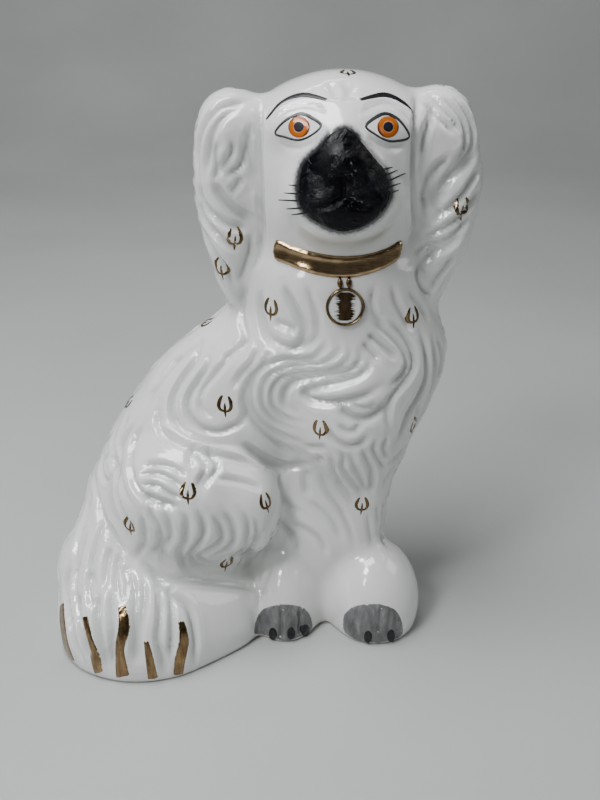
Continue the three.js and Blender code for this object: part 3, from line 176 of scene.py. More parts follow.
    (((-77.6, 4.5, 89.6), (-78.8, 2.4, 86.6), (-79.7, -0.8, 82.7), (-78.2, -5.8, 79.6), (-75.8, -13.3, 77.8), (-75.1, -18.9, 75), (-74.7, -21.8, 71), (-73.1, -24.6, 67.8), (-71.1, -26.6, 64.5), (-69.2, -27.6, 59.8), (-67.7, -27.6, 55.6)), 1.16, 0.8),
    (((-72.5, 3.1, 95), (-74.1, 1.1, 91.9), (-75.6, -1.6, 87.9), (-76, -4.7, 84.2), (-75.9, -7.5, 81.6)), 1.09, 0.6),
    (((-89.1, -0, 67.6), (-87.5, -6.3, 65.1), (-85.4, -11.3, 62), (-82.9, -16, 58.8), (-79.9, -20.4, 55.6), (-75.8, -24.4, 51.8), (-72.6, -26.6, 48.4)), 1.18, 0.8),
    (((-86.7, -9, 63.1), (-85.7, -11.9, 60.7), (-84, -16, 57.6), (-81.2, -20.5, 54.3), (-77.8, -24.3, 50.8), (-73.6, -26.7, 47.7), (-70.1, -28, 45.4)), 1.09, 0.7),
    (((-89.3, -5, 63.1), (-90.9, -7.2, 57.7), (-92.3, -11.8, 52.3), (-93.5, -15.9, 48.6), (-94.5, -19.9, 45.2), (-95, -24, 40.9), (-95.5, -26.3, 37.1)), 1.19, 0.7),
    (((-81.9, -18.3, 56.6), (-83.4, -20.5, 52.7), (-84.8, -24, 48), (-85.6, -27.2, 43.9), (-85.9, -30.3, 40.1), (-85.2, -33.6, 36.8), (-84.3, -36.3, 34.6)), 1.16, 0.7),
    (((-90.4, -17, 50.7), (-91.4, -21, 46.9), (-92.7, -25.4, 41.5), (-93.6, -28.7, 36.1), (-93.9, -32.2, 31.3), (-92.9, -36.5, 27.4), (-91.9, -39.8, 24.7)), 1.17, 0.8),
    (((-77.8, -25.4, 49), (-78.8, -27.8, 45.1), (-79.8, -31.4, 40.9), (-79.9, -34.8, 37.7), (-79.8, -37.4, 35.5)), 1.07, 0.6),
    (((-74.3, -27.1, 46.8), (-75.1, -29.4, 43.6), (-75.4, -33, 40.1), (-74.7, -36.5, 37.4), (-73.7, -39.7, 35.3), (-72.6, -41.7, 33.7), (-71.7, -42.8, 32.7)), 1.14, 0.7),
    (((-96.9, -23, 39.8), (-97.8, -25.1, 35.7), (-98.5, -27.6, 30.3), (-97.9, -31.1, 26.7), (-96.4, -35.6, 23.7), (-94.6, -40.3, 19.8), (-92.9, -43.7, 15), (-90.7, -46.2, 9.8), (-89, -47.2, 5.4)), 1.25, 1),
    (((-90.8, -33.8, 32.6), (-91.2, -36.1, 29.7), (-91, -39.6, 26), (-89.5, -43.4, 22), (-87.8, -46.4, 17.3), (-86.4, -48.3, 12.4), (-85.3, -49.1, 8.3)), 1.23, 1),
    (((-81.6, -37, 35.2), (-82.2, -39.4, 32.8), (-82.6, -42.5, 29.4), (-82.2, -45.4, 25.7), (-81.4, -47.9, 21.3), (-80.3, -49.9, 16.3), (-79.3, -51.1, 11.2), (-78.5, -51.6, 7.1), (-77.9, -51.6, 4.2)), 1.38, 1.2),
    (((-76.6, -36.4, 37.2), (-76.7, -39.1, 35.1), (-76.6, -42.5, 32), (-76, -45.6, 28.4), (-75.4, -48.3, 24.2), (-75.4, -50.3, 19.3), (-75.7, -51.5, 14.2), (-75.8, -52.1, 9.4), (-76, -52.1, 5.8)), 1.29, 1.1),
    (((-69.8, -31.8, 41.2), (-68.6, -34.7, 39.1), (-67.3, -38.7, 36.5), (-66.8, -42, 33.8), (-66.6, -45, 30.5), (-66.4, -48, 26.1), (-66.4, -50.4, 21), (-66.8, -52.3, 14.5), (-67.4, -53, 8.7)), 1.37, 1.2),
    (((-64.7, -33.3, 39.8), (-63.9, -36.4, 37.8), (-63.1, -40.1, 35.1), (-63.1, -42.9, 32.5), (-63.4, -45.6, 29.5), (-64.2, -48.1, 25.6), (-64.8, -50.4, 20.9), (-64.8, -52.2, 14.5), (-64.6, -52.9, 8.7)), 1.21, 1),
    (((-58.9, -34.3, 38.1), (-57.8, -37.4, 36.1), (-56.7, -40.7, 33.1), (-56.3, -43.4, 30.2), (-56.3, -45.7, 27.1), (-56.8, -47.8, 23.8), (-57, -49.5, 20.1), (-56.3, -50.8, 15.4), (-55.4, -51.4, 10.4), (-54.8, -51.4, 5.9), (-54.4, -51, 2.6)), 1.3, 1.1),
    (((-53.1, -36.6, 34.8), (-52.5, -39.4, 32.4), (-51.8, -42.7, 28.6), (-51.6, -45.8, 24.1), (-51.7, -48.2, 19), (-52.2, -49.9, 13.8), (-52.8, -50.6, 9.7)), 1.22, 1),
    (((-73.3, -30.3, 42.6), (-72, -33.1, 40.2), (-70.8, -36.9, 37.6), (-70.6, -40.2, 35.3), (-70.9, -42.3, 33.3)), 1.06, 0.6),
    (((-63.6, -28.6, 43.9), (-61.7, -30.1, 41.7), (-59.2, -32.5, 39.2), (-56.5, -34.9, 37.1), (-53.9, -36.8, 35), (-51.4, -37.8, 33.2), (-49, -38.5, 31.2), (-46.8, -39, 29.2), (-45, -40.1, 26.4), (-43.7, -42.4, 21.7), (-43, -44.6, 15.8), (-43.3, -46.1, 8.8), (-43.9, -46.4, 2.4)), 1.31, 0.9),
    (((-86.8, -30.1, 39.9), (-87, -32.6, 36.8), (-86.9, -36, 33.3), (-85.6, -39.4, 30.8), (-84.4, -41.9, 28.9)), 1.07, 0.7),
    (((-68.5, -28, 45.4), (-65.7, -29.4, 43.2), (-61.7, -31.1, 40.7), (-57.5, -32, 39), (-52.8, -31.9, 37.3), (-47.5, -30.2, 35.3), (-42, -27.5, 32.8), (-36.4, -24.5, 29.8), (-30.9, -21.9, 26.9), (-25.6, -19.4, 24), (-21, -17.2, 21.1), (-17.7, -18.8, 20.9), (-15.6, -20.8, 21.3)), 1.69, 0.9),
    (((-21.5, 3.6, 217), (-23.7, 2.6, 216.3), (-26.4, 1.9, 215.1), (-28.4, 1.5, 213.4), (-30.1, 1.3, 211.1), (-31.4, 1.3, 208.5), (-32.5, 1.5, 205.6), (-33.4, 1.8, 202.4), (-34, 2.1, 199.2), (-34.4, 2.3, 195.9), (-34.7, 2.4, 193.5)), 1.01, 0.8),
    (((-17.3, 7.6, 219.4), (-19.8, 6.1, 219.1), (-22.9, 4.6, 218.6), (-25.8, 3.9, 218.2), (-28.6, 3.8, 217.3), (-31, 3.8, 215.7), (-33.1, 4.1, 213.6), (-35, 4.5, 210.8), (-36.5, 5.2, 207.6), (-37.5, 5.9, 204.1), (-38.1, 6.4, 200.4), (-38.2, 6.2, 196.4), (-38, 5.7, 193.3)), 1.02, 0.7),
    (((-29.5, 0.2, 206.5), (-30.4, 0.3, 204.2), (-31.2, 0.6, 201.2), (-31, 0.5, 198.5), (-30.7, 0.4, 195.9), (-31.5, 0.7, 193.4), (-32.4, 1, 191.5)), 1.02, 0.8),
    (((-24.4, -0.3, 207.2), (-24.3, -0.4, 205.1), (-24.5, -0.5, 202.4), (-25.9, -0.4, 200.2), (-27.6, -0.2, 198.2), (-29.4, 0.1, 196.1), (-30.8, 0.4, 194.5)), 1.01, 0.8),
    (((-19.4, 0.4, 207.1), (-19.7, 0.2, 204.5), (-20.3, 0.1, 201.3), (-21.1, 0, 198.8), (-22.6, -0.1, 196.7), (-25.7, -0.3, 194.7), (-28.6, -0.1, 193.2)), 1.09, 0.8),
    (((-32, 0.9, 192.3), (-31.5, 0.6, 190.6), (-30.7, 0.4, 188.4), (-29.5, 0.3, 186.4), (-27.8, 0.3, 184.4), (-25.7, 0.4, 182.3), (-23.2, 0.9, 180.2), (-19.8, 1.9, 178), (-17, 2.5, 176.5)), 1.86, 1.5),
    (((-37.7, 5.1, 191.6), (-37.7, 5, 189.1), (-37.6, 5, 186.1), (-36.8, 4.3, 183.7), (-35.3, 3.1, 181.6), (-32.9, 1.6, 179.5), (-30, 0.6, 177.6), (-27.1, 0.2, 176.2), (-24.1, 0.6, 175), (-20.4, 1.8, 174.4), (-17.5, 2.8, 174.1)), 1.28, 0.9),
    (((-38.6, 6.6, 183.9), (-38, 6.1, 181), (-36.9, 5.1, 177.4), (-35, 3.3, 175), (-32.6, 1.7, 172.9), (-30, 0.5, 170.7), (-27.3, 0, 168.7), (-24.4, 0.3, 166.8), (-22.2, 1.1, 165.3)), 1.22, 0.9),
    (((-37.8, 7.8, 173), (-36.8, 6.4, 171), (-35.4, 4.8, 168.3), (-34, 3.5, 165.9), (-32.4, 2.7, 163.4), (-30.1, 2.2, 160.4), (-27.9, 2.4, 157.1), (-26.7, 3.1, 152.9), (-26, 3.9, 149.4)), 1.16, 0.8),
    (((-19, 2.4, 172.7), (-18.9, 2.4, 169.7), (-19.2, 2.3, 165.8), (-20.3, 2, 162.3), (-21.7, 2.2, 158.8), (-23.2, 3, 154.9), (-24.3, 3.6, 151.9)), 1.16, 0.6),
    (((-34, 8.4, 156.2), (-31.8, 6, 152.3), (-30.1, 5.4, 148.9)), 1.03, 0.6),
    (((-16.8, 2, 213.1), (-17.6, 1.1, 210.2), (-18.4, 0.5, 206.4), (-18.3, 0.4, 203.1), (-17.8, 0.4, 199.5), (-17, 0.5, 194.6), (-16.2, 0.3, 190.6)), 1.09, 0.5),
    (((-20.9, 0.2, 193.8), (-22.1, 0.1, 192.2), (-23.5, 0, 190.3), (-24.9, 0, 188.6), (-25.9, 0.1, 187.4)), 1.1, 0.6),
    (((-13.8, 9, 220), (-14, 4.4, 217.2), (-14.3, 1.3, 213.2), (-14.6, 0.2, 208.3), (-14.8, -0, 203), (-14.8, -0.2, 197.8), (-14.6, -0.5, 192.5), (-14.6, -0.2, 186.9), (-14.6, 0.6, 181.4), (-14.4, 1.6, 176.4), (-14.5, 2.6, 171.5), (-15.1, 2.6, 166.4), (-16.2, 2.1, 161.9), (-18.5, 2.2, 158.3), (-20.6, 2.7, 155.8)), 1.19, 0.9),
    (((42.6, 9, 222), (41.6, 2.1, 218.4), (40.7, -3.9, 213.7), (40.4, -5.5, 208.9), (40.6, -4.5, 203.6), (40.6, -4.8, 198.4), (40.8, -4.9, 193.3), (41.4, -3.6, 188.3), (42.1, -1.7, 183.7), (42.9, 0, 180), (43.3, 1.4, 176.7), (42.5, 1.8, 172.8), (41.5, 1.5, 169.9)), 1.17, 0.9),
    (((44.3, 4.6, 219.6), (45.8, 3.2, 218.3), (47.7, 1.9, 216.5), (49.5, 1, 214.6), (51.3, 0.4, 212.6), (53.5, 0.1, 210.3), (55.2, 0.1, 208.5)), 0.86, 0.8),
    (((46.7, 6.6, 221.2), (48.3, 4.6, 219.8), (50.6, 2.8, 217.8), (52.9, 1.7, 215.6), (55, 1.1, 213.2), (56.5, 0.9, 210.5), (57.5, 0.8, 208.5)), 0.86, 0.8),
    (((50.2, 6.5, 221.5), (52.3, 4.7, 220), (55, 3.4, 217.7), (57.2, 2.8, 215.2), (58.9, 2.6, 212.4), (60, 2.4, 209.3), (60.4, 2, 206.2), (60, 1.3, 203.4), (58.8, 0.6, 200.8), (56.6, -0.1, 198.8), (54.5, -0.4, 197.5)), 1.01, 0.9),
    (((54.6, 7, 221.5), (56.9, 5.6, 219.3), (59.8, 5.4, 216.2), (61.7, 5.3, 212.9), (62.9, 5, 209.4), (63.3, 4.4, 205.9), (62.8, 3.1, 202.6), (60.8, 1.5, 199.9), (58.3, 0.3, 197.4), (55.8, -0.3, 195), (53.5, -0.3, 192.5), (52, 0.2, 189.2), (51.1, 0.6, 186.5)), 1.02, 0.9),
    (((64.6, 4.9, 202.4), (63.4, 3.3, 200.4), (61.4, 1.6, 197.9), (58.5, 0.2, 195.9), (55.6, -0.3, 193.9), (53.7, -0.2, 191.8), (52.3, 0.1, 189.5), (51.2, 0.6, 186.9), (50.6, 1, 184.2), (51.4, 1.1, 182.1), (52.4, 0.9, 180.6)), 1.7, 1.6),
    (((55, -0.3, 201), (52.8, -0.5, 199.5), (50.2, -0.3, 197.5), (48.3, -0.1, 195.5), (46.9, 0.1, 193.1), (46.1, 0.1, 190.1), (45.9, 0.4, 186.9), (46.1, 1.1, 183.7), (46.5, 1.8, 181.1)), 1.1, 0.9),
    (((53.2, -0.5, 200.3), (51.5, -0.4, 197.8), (49.7, -0.1, 194.6), (48.8, 0.2, 191.7), (48.4, 0.6, 188.7), (48.6, 1, 185.5), (48.9, 1.4, 183.1)), 0.96, 0.6),
    (((67, 6.5, 195.7), (65.5, 4.2, 193.8), (63.6, 2.4, 191.3), (61.9, 1.3, 188.9), (60.1, 0.8, 186.5), (58.4, 0.5, 184.6), (56.6, 0.5, 182.9), (54.5, 0.6, 181.3), (52.4, 0.9, 179.8), (50.5, 1.4, 178), (49, 1.8, 176.6)), 1.19, 1),
    (((67.8, 6.8, 188.3), (66.8, 5.5, 186.7), (65.3, 4, 184.4), (63.6, 2.7, 182), (61.6, 1.7, 179.7), (59.5, 0.9, 177.8), (57.1, 0.4, 176.2), (54.3, 0.3, 174.6), (51.4, 0.8, 173.1), (48.6, 1.7, 171.5), (46.5, 2.4, 170.4)), 1.21, 1),
    (((65.2, 4.3, 178.7), (63.1, 2.7, 176.5), (60.5, 1.2, 173.7), (57.9, 0.3, 171.8), (55.3, -0, 170.2), (52.3, 0.3, 169.3), (49.5, 1.2, 168.4), (47.1, 1.9, 166.8), (45.2, 2, 165.1), (44.6, 1.5, 163.1), (44.6, 0.9, 161.5)), 1.14, 0.9),
    (((62.3, 2.2, 172.7), (60.2, 1.1, 170.9), (57.7, 0.3, 168.6), (55.5, 0, 167.4), (53.3, 0.2, 166.3), (51, 0.7, 165.1), (49.1, 1.3, 163.7), (47.6, 1.5, 161.8), (47, 1.2, 159.8), (48.2, 1.3, 157.6), (49.7, 1.7, 155.7)), 1.07, 0.8),
    (((53.2, 0.1, 167.5), (51.8, 0.4, 166.8), (50.4, 0.9, 165.8), (49.6, 1.1, 164.4), (49.5, 1.2, 163), (50.5, 1.2, 161.6), (51.6, 1.2, 160.6)), 0.84, 0.5),
    (((59.5, 1.7, 163.6), (58.2, 1.7, 161.6), (56.5, 2.1, 158.8), (54.7, 2.3, 156.3), (53, 2.3, 153.9), (52.2, 2.4, 151.2), (51.8, 2.6, 149)), 1.09, 0.7),
    (((46.2, 1.3, 161.4), (45.7, 0.6, 159.1), (45.5, -0.3, 156.3), (46.6, -0.2, 153.3), (48.4, 0.8, 150.3), (50.8, 2.3, 147.9), (53, 3.6, 146.2)), 1.09, 0.8),
    (((47.8, 3.3, 218.4), (47.1, 1.7, 216.3), (46.3, 0.1, 213.3), (45.2, -1, 210.1), (44.3, -1.5, 206.7), (44.1, -1.5, 203.1), (44, -1.5, 200.4)), 1, 0.6),
    (((9.8, 1.6, 225.8), (10.8, -0.4, 224.8), (11.8, -2.9, 223.5), (12.2, -5.6, 221.9), (12.4, -7.7, 220.6)), 1.04, 0.25),
    (((14.7, 2.1, 226.4), (15.8, -0.3, 225.2), (16.6, -3.2, 223.5), (16, -6.5, 221.6), (15.1, -8.9, 220)), 1.04, 0.25),
    (((19.3, 1.2, 225.8), (18.5, -1.3, 224.5), (18, -4.1, 222.9), (18.5, -6.2, 221.6), (19.2, -7.6, 220.6)), 1.04, 0.2),
    (((-10.2, -4, 212.4), (-8.8, -4.4, 214.3), (-6.6, -4.3, 216.4), (-3.5, -4.7, 217.9), (0, -5.2, 218.8), (3.3, -6.4, 218.8), (6.2, -8.2, 218.4), (8.2, -10.5, 217.2), (9.5, -12.3, 216.1)), 0.9, 0.35),
    (((20.8, -12.2, 216.5), (22.4, -10.3, 217.5), (24.8, -7.9, 218.7), (27.5, -6.1, 219.3), (30.5, -4.8, 219.4), (33.5, -4.6, 218.6), (36.2, -4.8, 217.1), (38.5, -5.4, 214.7), (40.3, -5.2, 212.5)), 0.9, 0.35),
    (((-8.5, -6, 207.2), (-6.6, -7.2, 206.4), (-4.2, -8.7, 205.5), (-2.1, -10.2, 205.3), (0, -12, 205.6), (2.4, -13.9, 206.6), (4.8, -15.3, 208), (6.8, -15.7, 210), (8.1, -15.5, 211.6)), 0.9, 0.3),
    (((21.7, -16.2, 211.4), (23.1, -16.3, 209.9), (25.2, -15.9, 208.1), (27.7, -14.5, 206.7), (30.4, -12.5, 205.7), (32.8, -10.6, 205.4), (35, -9, 205.6), (37.3, -7.6, 206.4), (39, -6.5, 207.3)), 0.9, 0.3),
    (((14.5, -24.1, 197.8), (14.5, -23.5, 196), (14.6, -23.5, 193.8), (14.6, -23.8, 191.7), (14.7, -24, 190.2)), 0.61, 0.6),
    (((3.8, -22.6, 187.5), (5.4, -23.2, 187.2), (7.5, -23.7, 187.1), (9.6, -24, 187.7), (11.6, -24, 188.5), (13.2, -24, 189.5), (14.7, -24, 190.2), (16.3, -24, 189.7), (18.1, -24.1, 188.8), (20, -24.1, 188), (21.9, -24, 187.5), (24, -23.7, 187.8), (25.7, -23.3, 188.3)), 0.75, 0.8),
    (((10.4, -23.8, 202), (11, -24.1, 202.6), (11.7, -24.2, 203.1)), 0.74, 0.8),
    (((17.3, -24.4, 203.1), (18, -24.3, 202.6), (18.7, -24.1, 202.1)), 0.73, 0.8),
    (((8.8, -22.6, 199.6), (9.9, -23.2, 199), (11.4, -23.7, 198.4), (12.9, -24, 198), (14.5, -24.1, 197.8), (16, -24.1, 198), (17.5, -24, 198.5), (19, -23.7, 199.1), (20.2, -23.2, 199.7)), 0.74, 0.6),
    (((-7.7, -26.8, 18.6), (-8, -27.5, 16), (-8.2, -28.2, 12.2), (-8, -28.7, 6.7), (-7.8, -28.5, 1.4)), 0.95, 0.6),
    (((-0.4, -25.4, 17.4), (-0.2, -26, 14.7), (0, -26.6, 10.8), (-0.2, -27, 5.7), (-0.4, -26.7, 0.9)), 0.95, 0.6),
    (((34, -29, 20.4), (34, -29.8, 17.5), (34.1, -30.6, 13.1), (34.4, -30.7, 6.7)), 0.94, 0.6),
    (((24, -27.4, 18), (23.7, -28, 14.8), (23.7, -28.4, 10.2), (24.3, -28.4, 4.4)), 0.95, 0.4),
    (((-12.6, -15.3, 31), (-14.4, -17.4, 27.4), (-16.5, -19.1, 22), (-17.8, -22, 17.2), (-18.6, -24.5, 13.4)), 1.3, 0.4),
)
